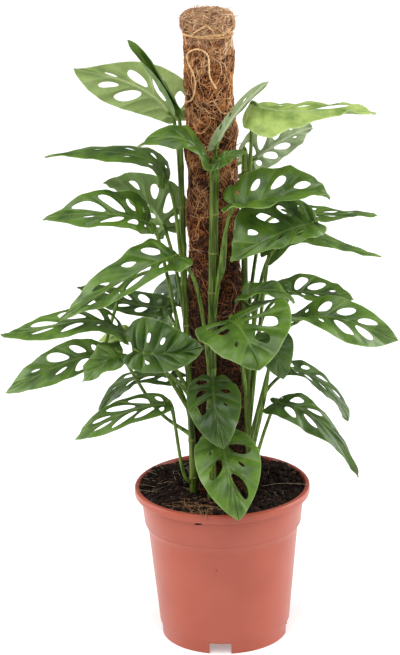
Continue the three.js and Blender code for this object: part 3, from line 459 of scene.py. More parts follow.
# %% Material: damp peat, and what lies in it
def crumbly(name, dark, light, crumb, rough=1.0):
    """Loose matter with grains of so many mm."""
    material, tree, shader = new_material(name)
    coords = node(tree, "TexCoord").outputs["Object"]
    crumbs = blotches(tree, crumb, 8.0, coords)
    cells = node(tree, "TexVoronoi", {"Scale": 1000 / (crumb * 0.6)}, {"Vector": coords})
    tint = node(tree, "ValToRGB", links={"Fac": crumbs}, stops=[(0.35, dark), (0.72, light)])
    bump = node(tree, "Bump", {"Strength": 0.8, "Distance": 0.0006}, {"Height": cells})
    connect(
        tree, shader, {"Roughness": rough, "Specular IOR Level": 0.25},
        {"Base Color": tint, "Normal": bump},
    )
    return material


damp_peat = crumbly("damp_peat", "#0c0604", "#2d1c14", 2.0)
bark_bits = crumbly("dark_bark_bits", "#1a0e09", "#4a2d1e", 1.5)
grey_bits = crumbly("dry_grey_crumbs", "#4b3d35", "#8d7d70", 1.0)
coir_dust = crumbly("coir_dust", "#6e4a30", "#be9368", 1.0)
root_skin = crumbly("feeder_root_skin", "#87755f", "#c9b89e", 1.5, 0.7)
print("soil materials ready")

# %% The plug of peat
SOIL_LEVEL = 106.0


def soil_height(x, y):
    """The peat's level, with two low heaps behind the pole."""
    heaps = np.exp(-((x + 38) ** 2 + (y - 20) ** 2) / 420) + np.exp(-((x - 40) ** 2 + (y - 24) ** 2) / 260)
    return SOIL_LEVEL + 3.2 * heaps


def rough_height(x, y):
    """The same level with its lumps."""
    level = float(soil_height(x, y))
    spot = Vector((x, y, 0.0))
    lumps = noise.noise(spot / 6) * 1.8 + noise.noise(spot / 2.2) * 1.1 + noise.noise(spot / 0.9) * 0.5
    return level + lumps


def peat_plug():
    """The plug in the pot, rough on top and smooth where it meets the wall."""
    clear = POT_WALL + 0.3
    outside = [(0, 10.3), (44.7 - clear, 10.3), (51.4 - clear, 78.6), (53.5 - clear, 82.7)]
    outside += [(55.8 - clear, 101.2)]
    rings = [(r, SOIL_LEVEL) for r in np.linspace(56.0, 15.0, 50)]
    points, faces, pairs = lathe(outside + rings + [(0, SOIL_LEVEL)], 190)
    for point in points:
        if point[2] > 103:
            reach = math.hypot(point[0], point[1])
            edge = min(1.0, (57.2 - reach) / 4)
            level = (SOIL_LEVEL + float(soil_height(point[0], point[1]))) / 2
            point[2] = level + (rough_height(point[0], point[1]) - level) * edge
    return points, faces, pairs


points, faces, pairs = peat_plug()
peat = build("peat_plug", points, faces, [damp_peat], uvs={"round": pairs})
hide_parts("soil")
print("peat faces:", len(peat.data.polygons))

# %% Loose crumbs on the peat
rng = np.random.default_rng(11)
POLE_HOLE = 18.8


def scatter(count, outer=54.0, side=None):
    """Random places on the peat; side is a function that says which are kept."""
    places = []
    while len(places) < count:
        reach = math.sqrt(rng.uniform((POLE_HOLE + 1.5) ** 2, outer**2))
        turn = rng.uniform(0, 2 * math.pi)
        x, y = reach * math.cos(turn), reach * math.sin(turn)
        if side is None or side(x, y):
            places.append((x, y))
    return places


# A crumb is a rough twelve-cornered ball.
BALL = [(0, 0, 1), (0.9, 0, 0.3), (0.3, 0.85, 0.3), (-0.75, 0.5, 0.3), (-0.75, -0.5, 0.3)]
BALL += [(0.3, -0.85, 0.3), (0.75, 0.5, -0.4), (-0.3, 0.85, -0.4), (-0.9, 0, -0.4)]
BALL += [(-0.3, -0.85, -0.4), (0.75, -0.5, -0.4), (0, 0, -1)]
BALL_FACES = [[0, 1, 2], [0, 2, 3], [0, 3, 4], [0, 4, 5], [0, 5, 1]]
BALL_FACES += [[1, 6, 2], [2, 6, 7], [2, 7, 3], [3, 7, 8], [3, 8, 4], [4, 8, 9], [4, 9, 5], [5, 9, 10]]
BALL_FACES += [[5, 10, 1], [1, 10, 6], [11, 7, 6], [11, 8, 7], [11, 9, 8], [11, 10, 9], [11, 6, 10]]
CLUMP = (-15.0, -38.0)  # where a tuft of coir has fallen


def in_clump(x, y):
    """Whether a place lies in the tuft, an oval of 26 by 22 mm."""
    return ((x - CLUMP[0]) / 13) ** 2 + ((y - CLUMP[1]) / 11) ** 2 < 1


def crumbs(count, small, large, flat=0.7, outer=54.0, side=None):
    """So many crumbs of these sizes; flat is their height against their width."""
    ball = np.array(BALL)
    parts = []
    for x, y in scatter(count, outer=outer, side=side):
        size = small + (large - small) * rng.random() ** 3
        stretch = size * np.array([rng.uniform(0.7, 1.3), rng.uniform(0.7, 1.3), flat])
        shape = ball * stretch * rng.uniform(0.8, 1.2, (12, 1))
        turn = rng.uniform(0, 2 * math.pi)
        cosine, sine = math.cos(turn), math.sin(turn)
        spin = np.array([[cosine, -sine, 0], [sine, cosine, 0], [0, 0, 1]])
        place = [x, y, rough_height(x, y) + size * flat * 0.3]
        parts.append((shape @ spin.T + place, BALL_FACES, np.zeros((12, 2))))
    return joined(parts)


def lay(name, made, material):
    """Lay a piece of loose material on the peat."""
    piece = build(name, made[0], made[1], [material], sharp=180)
    print(name, "faces:", len(piece.data.polygons))


lay("peat_crumbs", crumbs(1700, 0.5, 2.2, outer=55.5), damp_peat)
lay("peat_lumps", crumbs(240, 1.6, 4.4, 0.65, outer=54.0), damp_peat)
lay("bark_crumbs", crumbs(480, 0.5, 3.0, 0.4, outer=55.0), bark_bits)
lay("grey_crumbs", crumbs(230, 0.3, 1.3, 0.5, outer=55.5), grey_bits)
lay("coir_crumbs", crumbs(110, 0.4, 1.4, 0.5, side=in_clump), coir_dust)
lay("coir_specks", crumbs(60, 0.25, 0.7, 0.5), coir_dust)


# %% Feeder roots and coir hairs on the peat
PEAT_RIM = 54.5  # how far out a lying hair may reach


def lying_hair(x, y, length, radius, bend, lift=0.4):
    """A hair that wanders over the peat and stays inside the lip."""
    heading = rng.uniform(0, 2 * math.pi)
    steps = max(6, int(length / 1.5))
    turn = np.cumsum(rng.normal(0, bend, steps + 1)) + heading
    path = np.zeros((steps + 1, 3))
    path[:, 0] = x + np.cumsum(np.cos(turn)) * length / steps
    path[:, 1] = y + np.cumsum(np.sin(turn)) * length / steps
    reach = np.hypot(path[:, 0], path[:, 1])
    path[:, :2] *= np.clip(PEAT_RIM / np.maximum(reach, 1e-6), None, 1)[:, None]
    for row in path:
        row[2] = rough_height(row[0], row[1]) + lift
    path[:, 2] = np.convolve(np.pad(path[:, 2], 1, mode="edge"), [0.25, 0.5, 0.25], "valid")
    taper = radius * np.linspace(1, 0.5, steps + 1)
    return tube(path, taper, 4)


def reaching_hair(points, radius):
    """A hair along a route of its own."""
    return tube(route(points, 26), np.linspace(radius, radius * 0.5, 27), 5)


def on_left(x, y):
    """Most roots show on the left."""
    return x < -16


roots = [lying_hair(x, y, rng.uniform(14, 40), 0.17, 0.16, 0.8) for x, y in scatter(22, side=on_left)]
roots += [lying_hair(x, y, rng.uniform(8, 20), 0.12, 0.3) for x, y in scatter(22)]
# One long root lies over the lip on the right, and a few ends stick out on the left.
LONG_ROOT = [(27, -6, 108), (40, -8, 110.5), (56, -12, 111), (66, -14, 109.5), (75, -15, 107)]
STICKING_OUT = [(158, 8, 2.5), (171, 6, 3.2), (184, 9, 1.6), (149, 5, 4), (196, 5, 2)]  # degrees, reach, rise
roots.append(reaching_hair(LONG_ROOT, 0.2))
for turn, reach, rise in STICKING_OUT:
    side, back = math.cos(math.radians(turn)), math.sin(math.radians(turn))
    way = [(46, 108), (54, 110), (57 + reach * 0.5, 109 + rise), (57 + reach, 108)]
    roots.append(reaching_hair([(side * r, back * r, z) for r, z in way], 0.18))
hairs = [lying_hair(x, y, rng.uniform(5, 18), 0.14, 0.35) for x, y in scatter(50)]
fallen = scatter(62, outer=53, side=in_clump)
hairs += [lying_hair(x, y, rng.uniform(7, 20), 0.21, 0.5, 1.1) for x, y in fallen]
# Four hairs of the tuft hang over the lip.
for x in (-17, -14.5, -12, -10.5):
    bend = x + rng.uniform(-2, 2)
    over = [(x, -44, 107.5), (bend, -54, 109.6), (bend, -58.5, 109.3), (x, -60.6, 104.5)]
    hairs.append(reaching_hair(over, 0.22))
lay("feeder_roots", joined(roots), root_skin)
# A chip of bark has caught under the lip at the front.
chip = np.array(BALL) * [3.2, 1.0, 0.7] + [-17.0, -53.6, 100.6]
lay("caught_bark_chip", (chip, BALL_FACES), bark_bits)
lay("coir_hairs", joined(hairs), coir_dust)

# %% [markdown]
# ## The coir pole
#
# Coir is the fibre of coconut husk: wiry, curly and red-brown, paler where it frays. A bump map on a
# cylinder looks painted, and hair particles would not be kept as a mesh, so each fibre is a thin
# three-sided tube that wanders over the pole and in and out of the mat. A rough core closes the gaps.


# %% Material: coconut coir
# Painted shade: over this height the coir is coloured darker towards the foot of the pole, where the leaves
# shade it.
FOOT_SHADE_SPAN = (105.0, 441.0)  # mm; the stops below are shares of this height
FOOT_SHADE_STOPS = [(0.1, 0.85), (0.36, 0.8), (0.62, 0.25), (0.9, 0.0)]


# The last argument of coir is how dark the painted shade in the gaps between tangles is.
def coir(name, stops, rough=0.9, hollow_shade_depth=0.3):
    """Fibres: the U of their layer is a random number each, which picks a colour."""
    material, tree, shader = new_material(name)
    own = node(tree, "UVMap", uv_map="fibre")
    split = node(tree, "SeparateXYZ", links={"Vector": own})
    coords = node(tree, "TexCoord").outputs["Object"]
    # Husk colour also drifts over some 8 mm of fibre.
    drift = blotches(tree, 8, 2.0, coords)
    mixed = maths(tree, "MULTIPLY_ADD", drift, 0.35, split.outputs["X"])
    # Tangles of 7 mm, with painted shade in the gaps between them.
    tangles = blotches(tree, 7, 1.0, coords)
    hollow = fade(tree, tangles, (0.36, 0.5), (hollow_shade_depth, 0.0))
    hollow_shaded = maths(tree, "SUBTRACT", mixed, hollow)
    # Painted shade: the coir is coloured darker towards the foot of the pole, where the leaves shade it.
    height = node(tree, "SeparateXYZ", links={"Vector": coords})
    way_up = fade(tree, height.outputs["Z"], (FOOT_SHADE_SPAN[0] * MM, FOOT_SHADE_SPAN[1] * MM))
    foot_shade = node(tree, "ValToRGB", links={"Fac": way_up}, stops=FOOT_SHADE_STOPS)
    moved = maths(tree, "SUBTRACT", hollow_shaded, foot_shade)
    tint = node(tree, "ValToRGB", links={"Fac": moved}, stops=stops)
    connect(
        tree, shader,
        {"Roughness": rough, "Specular IOR Level": 0.2, "Sheen Weight": 0.05, "Sheen Roughness": 0.5},
        {"Base Color": tint},
    )
    return material


mat_coir = coir(
    "coconut_coir_mat", [(0.0, "#2e1508"), (0.3, "#834a22"), (0.65, "#c07f4c"), (1.0, "#e3af75")],
)
pale_coir = coir(
    "coconut_coir_frayed", [(0.0, "#6b4630"), (0.3, "#ab7f5c"), (0.65, "#cba37b"), (1.0, "#ebcda6")],
)
coir_core = crumbly("coir_core", "#221108", "#573219", 1.6)
print("coir materials ready")

# %% The core of the mat
POLE_FOOT_RADIUS = 18.5
POLE_NECK_RADIUS = 15.7
POLE_CROWN_RADIUS = 17.4
POLE_NECK = 425.6
POLE_TAPER = 150.0  # above this height the coir is wound thinner and thinner
POLE_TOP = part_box("coir_pole")[1][2] / MM
POLE_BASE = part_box("coir_pole")[0][2] / MM
POLE_LEAN = -4 / 332  # mm to the left for each mm up
STAKE_RADIUS = 8.0
STAKE_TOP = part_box("stake")[1][2] / MM


def lean(z):
    """How far the pole's middle stands to the right of the pot's axis."""
    return POLE_LEAN * (z - POT_HEIGHT)


def pole_radius(z):
    """The mat's outside; above the neck it spreads out again in the crown."""
    share = np.clip((z - POLE_TAPER) / (POLE_NECK - POLE_TAPER), 0, 1)
    wound = POLE_FOOT_RADIUS + (POLE_NECK_RADIUS - POLE_FOOT_RADIUS) * share**1.5
    crown = (POLE_CROWN_RADIUS - POLE_NECK_RADIUS) * np.clip((z - POLE_NECK) / 5, 0, 1)
    return wound + crown - 0.5 * np.exp(-(((z - POLE_NECK) / 2.0) ** 2))


def bulge(turn, z):
    """How far in mm the hand-wound mat swells out or sinks in."""
    wave = 0.7 * np.sin(2 * turn + z / 9) + 0.6 * np.sin(3 * turn - z / 6.5 + 1.3)
    wave = wave + 0.35 * np.sin(5 * turn + z / 4)
    above_soil, below_neck = np.clip((z - 115) / 30, 0, 1), np.clip((421 - z) / 8, 0, 1)
    under_loop = np.clip(-np.sin(turn), 0, 1) * np.clip((z - 350) / 20, 0, 1)
    return wave * above_soil * below_neck * (1 - 0.8 * under_loop)


def mat_core():
    """The lumpy body of the mat, hollow round its stake."""
    profile = [(0, STAKE_TOP + 0.3), (STAKE_RADIUS + 0.3, STAKE_TOP + 0.3), (STAKE_RADIUS + 0.3, POLE_BASE)]
    heights = np.concatenate([[POLE_BASE], np.arange(60, 436, 3.0)])
    profile += [(pole_radius(z) - 1.5, z) for z in heights]
    profile += [(14.0, 436.3), (11.0, 437.0), (5.0, 437.3), (0, 437.4)]
    points, faces, pairs = lathe(profile, 76)
    for point in points:
        reach = math.hypot(point[0], point[1])
        if reach > STAKE_RADIUS + 1 and point[2] > 100:
            spot = Vector(point)
            lump = noise.noise(spot / 9) * 0.9 + noise.noise(spot / 2.5) * 0.5
            lump += float(bulge(math.atan2(point[1], point[0]), point[2]))
            point[:2] *= (reach + lump) / reach
        point[0] += lean(point[2])
    return points, faces, pairs


points, faces, pairs = mat_core()
core = build("coir_core", points, faces, [coir_core], uvs={"round": pairs})
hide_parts("coir_pole")
print("core faces:", len(core.data.polygons))


# %% Fibres as thin tubes
def strands(centres, radii, tones):
    """Three-sided tubes from centres (fibre, step, xyz), radii (fibre, step) and one tone a fibre."""
    count, steps, _ = centres.shape
    along = np.gradient(centres, axis=1)
    along /= np.linalg.norm(along, axis=2, keepdims=True) + 1e-9
    out = centres - centres.mean(axis=1, keepdims=True) * [0, 0, 1]
    side = np.cross(along, out + [0.01, 0.02, 0.0])
    side /= np.linalg.norm(side, axis=2, keepdims=True) + 1e-9
    other = np.cross(along, side)
    rings = []
    for turn in (0, 2 * math.pi / 3, 4 * math.pi / 3):
        reach = side * math.cos(turn) + other * math.sin(turn)
        rings.append(centres + reach * radii[:, :, None])
    points = np.stack(rings, axis=2).reshape(-1, 3)
    start = (np.arange(count)[:, None] * steps + np.arange(steps - 1)[None, :]) * 3
    quads = []
    for k in range(3):
        n = (k + 1) % 3
        quads.append(np.stack([start + k, start + n, start + 3 + n, start + 3 + k], axis=2).reshape(-1, 4))
    first = np.arange(count) * steps * 3
    last = first + (steps - 1) * 3
    feet = np.stack([first + 2, first + 1, first], axis=1)
    tips = np.stack([last, last + 1, last + 2], axis=1)
    faces = np.concatenate(quads).tolist() + np.concatenate([feet, tips]).tolist()
    share = np.tile(np.repeat(np.linspace(0, 1, steps), 3), count)
    return points, faces, np.stack([np.repeat(tones, steps * 3), share], axis=1)


def on_pole(turn, z, lift):
    """Points at an angle round the pole, a height and a distance off the mat."""
    radius = pole_radius(z) + lift + bulge(turn, z)
    return np.stack([lean(z) + radius * np.cos(turn), radius * np.sin(turn), z], axis=-1)


MAT_TOP = 431.0
MAT_BEND = 3.9  # radians that a fibre curls one way over its length, give or take
MAT_WANDER = 0.82  # radians that it strays as well


def mat_fibres(count, steps, length, thick, lift, low=103.0):
    """Curly fibres that wander over the mat; lift is their least and most height off it."""
    heading = rng.uniform(0, 2 * math.pi, (count, 1))
    stray = rng.normal(0, MAT_BEND / steps, (count, 1))
    curl = stray + rng.normal(0, MAT_WANDER / math.sqrt(steps), (count, steps))
    heading = heading + np.cumsum(curl, axis=1)
    stride = rng.uniform(*length, (count, 1)) / steps
    sideways = np.cumsum(np.cos(heading) * stride, axis=1)
    turn = rng.uniform(0, 2 * math.pi, (count, 1)) + sideways / POLE_FOOT_RADIUS
    z = rng.uniform(low, MAT_TOP, (count, 1)) + np.cumsum(np.sin(heading) * stride, axis=1)
    z = np.clip(z, low - 2, MAT_TOP)
    wave = np.sin(np.linspace(0, 1, steps) * rng.uniform(4, 11, (count, 1)) + rng.uniform(0, 6, (count, 1)))
    ends = np.sin(np.linspace(0, math.pi, steps)) ** 0.4
    height = lift[0] + (lift[1] - lift[0]) * (0.5 + 0.5 * wave) * ends * rng.uniform(0.3, 1, (count, 1))
    radii = rng.uniform(*thick, (count, 1)) * (0.45 + 0.55 * np.sin(np.linspace(0.15, math.pi - 0.1, steps)))
    return strands(on_pole(turn, z, height), np.broadcast_to(radii, (count, steps)), rng.random(count))


def fibre_piece(name, made, material):
    """Add one layer of fibres."""
    points, faces, pairs = made
    piece = build(name, points, faces, [material], uvs={"fibre": pairs}, sharp=180)
    print(name, "faces:", len(piece.data.polygons))
    return piece


# Each layer: how many fibres, their steps, length, thickness and lift off the mat.
fibre_piece("coir_mat_under", mat_fibres(2200, 9, (14, 40), (0.3, 0.52), (-1.3, -0.2)), mat_coir)
fibre_piece("coir_mat_over", mat_fibres(2650, 11, (14, 46), (0.18, 0.38), (-0.8, 0.4)), mat_coir)
fibre_piece("coir_mat_pale", mat_fibres(420, 14, (16, 44), (0.13, 0.26), (-0.3, 0.7), low=170), pale_coir)


# %% The frayed top
CROWN_WAY = [0, 8, 13.5, 17, 20, 26, 30, 34, 70]  # mm from the middle of the top, over its edge and down
CROWN_REACH = [0, 8, 13.5, 16.3, 16.9, 17.0, 15.6, 15.3, 15.6]
CROWN_HEIGHT = [438.9, 438.7, 438.2, 436.6, 434.0, 428.6, 425.6, 421.6, 385.6]


def crown_fibres(count, tufts, way, length, thick, lift, spread, curliness):
    """Fibres that run over the top and down, in tufts; spread is how far they stray from straight down."""
    steps = 13
    tuft = rng.integers(0, tufts, (count, 1))
    tuft_turn = rng.uniform(0, 2 * math.pi, tufts)[tuft]
    tuft_lean = rng.normal(0, 0.35, tufts)[tuft]
    heading = tuft_lean + rng.normal(0, spread, (count, 1))
    curl = rng.normal(0, curliness, (count, 1)) + rng.normal(0, 0.2, (count, steps))
    heading = heading + np.cumsum(curl, axis=1)
    stride = rng.uniform(*length, (count, 1)) / steps
    start = way[0] + (way[1] - way[0]) * rng.random((count, 1)) ** 0.8
    way = np.abs(start + np.cumsum(np.cos(heading) * stride, axis=1))
    reach = np.interp(way, CROWN_WAY, CROWN_REACH)
    turn = tuft_turn + rng.normal(0, 2.4 / tufts, (count, 1))
    turn = turn + np.cumsum(np.sin(heading) * stride / np.maximum(reach, 3), axis=1)
    z = np.interp(way, CROWN_WAY, CROWN_HEIGHT)
    wave = np.sin(np.linspace(0, 1, steps) * rng.uniform(3, 9, (count, 1)) + rng.uniform(0, 6, (count, 1)))
    off = lift[0] + (lift[1] - lift[0]) * (0.5 + 0.5 * wave) * rng.uniform(0.3, 1, (count, 1))
    off = off + 0.8 * np.sin(3.7 * tuft)
    side = np.clip(way / 20, 0, 1) ** 2
    reach = reach + off * side
    z = np.minimum(z + off * (1 - side), POLE_TOP - 0.3)
    centres = np.stack([lean(z) + reach * np.cos(turn), reach * np.sin(turn), z], axis=-1)
    radii = rng.uniform(*thick, (count, 1)) * np.linspace(1, 0.6, steps)
    return strands(centres, radii, np.clip(rng.random(count) * 0.8 + 0.2 * np.sin(2.3 * tuft[:, 0]), 0, 1))


FRAY_HEIGHT = 3.0  # mm that the loose ends may stand over the top


def crown_fray(count, steps, low, reach):
    """Loose ends that stand up and out of the crown."""
    turn = rng.uniform(0, 2 * math.pi, (count, 1))
    way = rng.uniform(low, 22, (count, 1))
    start = np.interp(way, CROWN_WAY, CROWN_REACH)
    z0 = np.interp(way, CROWN_WAY, CROWN_HEIGHT)
    share = np.linspace(0, 1, steps)[None, :]
    stand = (0.2 + 0.8 * rng.random((count, 1)) ** 2) * reach
    out = stand * share * np.clip(way / 18, 0.2, 1)
    bend = turn + rng.normal(0, 0.22, (count, 1)) * share**2
    rise = (stand * (1.1 - way / 30) + rng.normal(0, 0.5, (count, 1))) * share
    z = np.minimum(z0 - 0.5 + rise, POLE_TOP + FRAY_HEIGHT)
    centres = np.stack([lean(z) + (start + out) * np.cos(bend), (start + out) * np.sin(bend), z], axis=-1)
    radii = rng.uniform(0.07, 0.15, (count, 1)) * np.linspace(1, 0.6, steps)
    return strands(centres, radii, rng.random(count))


def stray_fibres(count, steps, low, high, reach, thick):
    """Loose ends that stand off the mat."""
    turn = rng.uniform(0, 2 * math.pi, (count, 1))
    z0 = rng.uniform(low, high, (count, 1))
    share = np.linspace(0, 1, steps)[None, :]
    bend = rng.normal(0, 0.5, (count, 1))
    stand = rng.uniform(0.35, 1.0, (count, 1)) * reach
    lift = -0.5 + stand * share**1.3
    angle = turn + bend * share**1.5 * 0.35
    z = z0 + rng.normal(0, 0.8, (count, 1)) * stand * share
    centres = on_pole(angle, np.clip(z, 104, POLE_TOP - 0.5), lift)
    radii = rng.uniform(*thick, (count, 1)) * np.linspace(1, 0.5, steps)
    return strands(centres, radii, rng.random(count) * 0.5)


# Each layer: fibres, tufts, where they start, length, thickness, lift, spread and curliness.
under = crown_fibres(800, 60, (0, 30), (10, 26), (0.22, 0.4), (-1.2, -0.3), 0.9, 0.3)
fibre_piece("coir_crown_under", under, mat_coir)
curls = crown_fibres(560, 40, (0, 24), (8, 24), (0.2, 0.42), (-0.7, 0.7), 1.4, 0.3)
fibre_piece("coir_crown_curls", curls, pale_coir)
locks = crown_fibres(900, 34, (0, 28), (12, 34), (0.18, 0.42), (-0.5, 0.9), 0.3, 0.09)
fibre_piece("coir_crown_locks", locks, pale_coir)
fibre_piece("coir_stray_ends", stray_fibres(560, 6, 112, 424, 3.4, (0.13, 0.24)), mat_coir)
fibre_piece("coir_stray_tips", stray_fibres(34, 7, 150, 424, 5.5, (0.22, 0.36)), mat_coir)
fibre_piece("coir_crown_fray", crown_fray(600, 7, 2, 5.6), pale_coir)

# %% [markdown]
# ## The stake
#
# The stake is plain softwood, hidden in the coir and the peat, so the frame's own solid is kept and
# only given its wood.


# %% Material: softwood
def softwood():
    material, tree, shader = new_material("turned_softwood")
    coords = node(tree, "TexCoord").outputs["Object"]
    # Growth rings of about 1.5 mm, drawn out along the stake.
    stretched = node(tree, "Mapping", {"Scale": (1.0, 1.0, 0.05)}, {"Vector": coords})
    rings = node(
        tree, "TexWave", {"Scale": 1000 / 1.5 / 6.28, "Distortion": 3.0, "Detail": 2.0},
        {"Vector": stretched},
    )
    tint = node(
        tree, "ValToRGB", links={"Fac": rings.outputs["Fac"]},
        stops=[(0.2, "#c79f68"), (0.8, "#a77c48")],
    )
    connect(tree, shader, {"Roughness": 0.7}, {"Base Color": tint})
    return material


stake = frame["nodes"]["stake"]
stake.data.materials.clear()
stake.data.materials.append(softwood())
print("stake material:", stake.data.materials[0].name)

# %% [markdown]
# ## The twine
#
# The twine is two plies of spun coir. Each ply is a tube that winds round the route, so the twist is
# in the shape and not only painted on.

# %% Two-ply twine
# Its last value, 0.1, is a light painted shade in the gaps between the tangles of the spun fibre.
twine_fibre = coir("spun_coir_twine", [(0.0, "#b48452"), (0.5, "#cda06c"), (1.0, "#e6c493")], 0.8, 0.1)
TWINE_RADIUS = 0.65
TWIST_LENGTH = 3.4  # mm of twine to one full turn of its plies
PLY_RADIUS = 0.34
PLY_OFFSET = 0.33  # from the middle of the twine to the middle of a ply
TWINE_STEP = 0.45


def twine(path):
    """The two plies along a path."""
    parts = []
    length = lengths(path)
    steps = int(length[-1] / TWINE_STEP)
    even = np.linspace(0, length[-1], steps + 1)
    path = np.stack([np.interp(even, length, path[:, k]) for k in range(3)], axis=1)
    along = unit(np.gradient(path, axis=0))
    side = unit(np.cross(along, [0.1, 0.2, 1.0]))
    other = np.cross(along, side)
    for ply in (0, 1):
        turn = 2 * math.pi * even / TWIST_LENGTH + ply * math.pi
        centre = path + PLY_OFFSET * (side * np.cos(turn)[:, None] + other * np.sin(turn)[:, None])
        points, faces, pairs = tube(centre, np.full(steps + 1, PLY_RADIUS), 6)
        pairs[:, 0] = rng.uniform(0.2, 0.8) + 0.15 * np.sin(pairs[:, 1] * 90)
        parts.append((points, faces, pairs))
    return joined(parts)


def round_pole(turns_and_heights, off, steps):
    """A route from [degrees round the pole from its front, height] pairs, so far off the mat."""
    points = []
    for turn, z in turns_and_heights:
        angle = math.radians(turn - 90)
        radius = pole_radius(z) + off
        points.append((lean(z) + radius * math.cos(angle), radius * math.sin(angle), z))
    return route(points, steps)


ON_MAT = TWINE_RADIUS + 0.4


def ring_turn(tilt, drop, start=0.0):
    """One turn of twine round the neck, a little askew."""
    turns = np.linspace(start, start + 360, 61)
    rise = drop + tilt * np.sin(np.radians(turns))
    return round_pole(list(zip(turns, POLE_NECK + rise)), ON_MAT, 240)


ring_parts = [twine(ring_turn(0.5, 0.0)), twine(ring_turn(-0.9, -0.9, 25)), twine(ring_turn(0.9, 0.8, 140))]
for bend in ([(-42, POLE_NECK), (-26, 429), (-2, 434)], [(16, POLE_NECK), (10, 430), (-2, 434)]):
    ring_parts.append(twine(round_pole(bend, ON_MAT, 40)))
ring_parts.append(twine(round_pole([(62, 431), (48, 428), (26, POLE_NECK + 0.4)], ON_MAT, 40)))
points, faces, pairs = joined(ring_parts)
ring = build("twine_round_neck", points, faces, [twine_fibre], uvs={"fibre": pairs})
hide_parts("twine_ring")

loop_route = [(-64, 380), (-40, 384), (-31, 394), (-38, 402), (-53, 409), (-48, 414.5)]
loop_route += [(-22, 417.5), (-2, 414), (1, 406), (2, 399), (15, 391)]
points, faces, pairs = twine(round_pole(loop_route, ON_MAT + 0.35, 160))
loop = build("twine_loose_loop", points, faces, [twine_fibre], uvs={"fibre": pairs})
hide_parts("twine_loop")
print("twine faces:", len(ring.data.polygons) + len(loop.data.polygons))

# %% [markdown]
# ## Stems
#
# A climbing stem is a smooth green rod with a ring at each node, where a leaf has grown or fallen, and
# short brown roots that feel for the pole. Its green is streaked lengthways, paler than the leaves.


# %% Material: green stem
def stem_green(name, base, middle, light, ring):
    material, tree, shader = new_material(name)
    coords = node(tree, "TexCoord").outputs["Object"]
    # Streaks about 1.5 mm wide and 20 mm long.
    stretched = node(tree, "Mapping", {"Scale": (1.0, 1.0, 0.075)}, {"Vector": coords})
    streaks = blotches(tree, 1.5, 3.0, stretched)
    patches = blotches(tree, 14, 3.0, coords)
    tint = node(
        tree, "ValToRGB", links={"Fac": streaks}, stops=[(0.34, base), (0.5, middle), (0.68, light)],
    )
    browned = node(tree, "ValToRGB", links={"Fac": patches}, stops=[(0.62, 0.0), (0.78, 0.5)])
    mixed = node(tree, "Mix", {7: colour(ring)}, {0: browned, 6: tint}, data_type="RGBA")
    bump = node(tree, "Bump", {"Strength": 0.15, "Distance": 0.0003}, {"Height": streaks})
    # A little light goes through the skin, green furthest.
    glow = {"Subsurface Weight": 0.08, "Subsurface Radius": (0.4, 0.8, 0.2), "Subsurface Scale": MM}
    connect(
        tree, shader, {"Roughness": 0.46, "IOR": 1.4, "Specular IOR Level": 0.3, **glow},
        {"Base Color": mixed.outputs[2], "Normal": bump},
    )
    return material


stem_skin = stem_green("climbing_stem_skin", "#27360a", "#485a15", "#6e8232", "#5c5020")
stalk_skin = stem_green("leaf_stalk_skin", "#384c12", "#567024", "#768f3c", "#5f6a28")
scar_cork = crumbly("leaf_scar_cork", "#6a6c30", "#8f8f52", 0.8, 0.7)
root_cork = crumbly("climbing_root_cork", "#5a4426", "#8f7748", 0.8, 0.8)
print("stem materials ready")

# %% The stems
STEM_ROUTES = {
    "front": [(-7, -22, 70), (-7, -22, 150), (-4, -22, 250), (-1, -23, 345)],
    "left": [(-19.5, -11, 70), (-20, -11, 150), (-22.5, -8, 250), (-23.5, -4, 365)],
    "right": [(17, -16, 70), (18, -16, 150), (17.5, -14.5, 260), (19, -11, 350)],
    "back": [(6, 22, 70), (8, 22, 150), (7, 22, 230), (6, 22, 292)],
}
STEM_RADII = {"front": (3.2, 3.0), "left": (2.6, 1.9), "right": (2.6, 1.9), "back": (2.6, 1.9)}
NODE_SPACING = 27.2
FIRST_NODE = 9.0
SCAR_REACH = 1.1  # mm of cork above and below a node
NUBS_MISSING = 0.55  # the share of climbing roots that never grew


def from_node(z):
    """How far in mm a height is from the nearest node."""
    off = (z - FIRST_NODE) / NODE_SPACING
    return np.abs(off - np.round(off)) * NODE_SPACING


def stem_radius(name, share, z):
    """A stem tapers from its foot to its tip and swells at each node."""
    foot, tip = STEM_RADII[name]
    plain_radius = foot + (tip - foot) * share
    near = from_node(z)
    return plain_radius + 0.22 * np.exp(-((near / 0.8) ** 2)) + 0.2 * np.exp(-((near / 3.5) ** 2))


def root_nubs(curve):
    """A pair of short climbing roots at each node, turned towards the pole."""
    parts = []
    for z in np.arange(FIRST_NODE + 5 * NODE_SPACING, curve[-1, 2] - 8, NODE_SPACING):
        start = np.array([np.interp(z - 2, curve[:, 2], curve[:, k]) for k in range(3)])
        to_pole = np.array([lean(z), 0.0, z]) - start
        to_pole[2] = 0
        to_pole /= np.linalg.norm(to_pole)
        for swing in (-1, 1):
            if rng.random() < NUBS_MISSING:
                continue
            side = np.cross(to_pole, [0, 0, 1]) * swing
            reach = rng.uniform(5, 9)
            end = start + to_pole * 3.6 + side * reach * 0.55 + [0, 0, rng.uniform(-5, 1)]
            middle = start + to_pole * 1.5 + side * 3.2
            line = route([start + to_pole * 0.5, middle, end], 10)
            parts.append(tube(line, np.linspace(0.6, 0.3, 11), 7))
    return parts


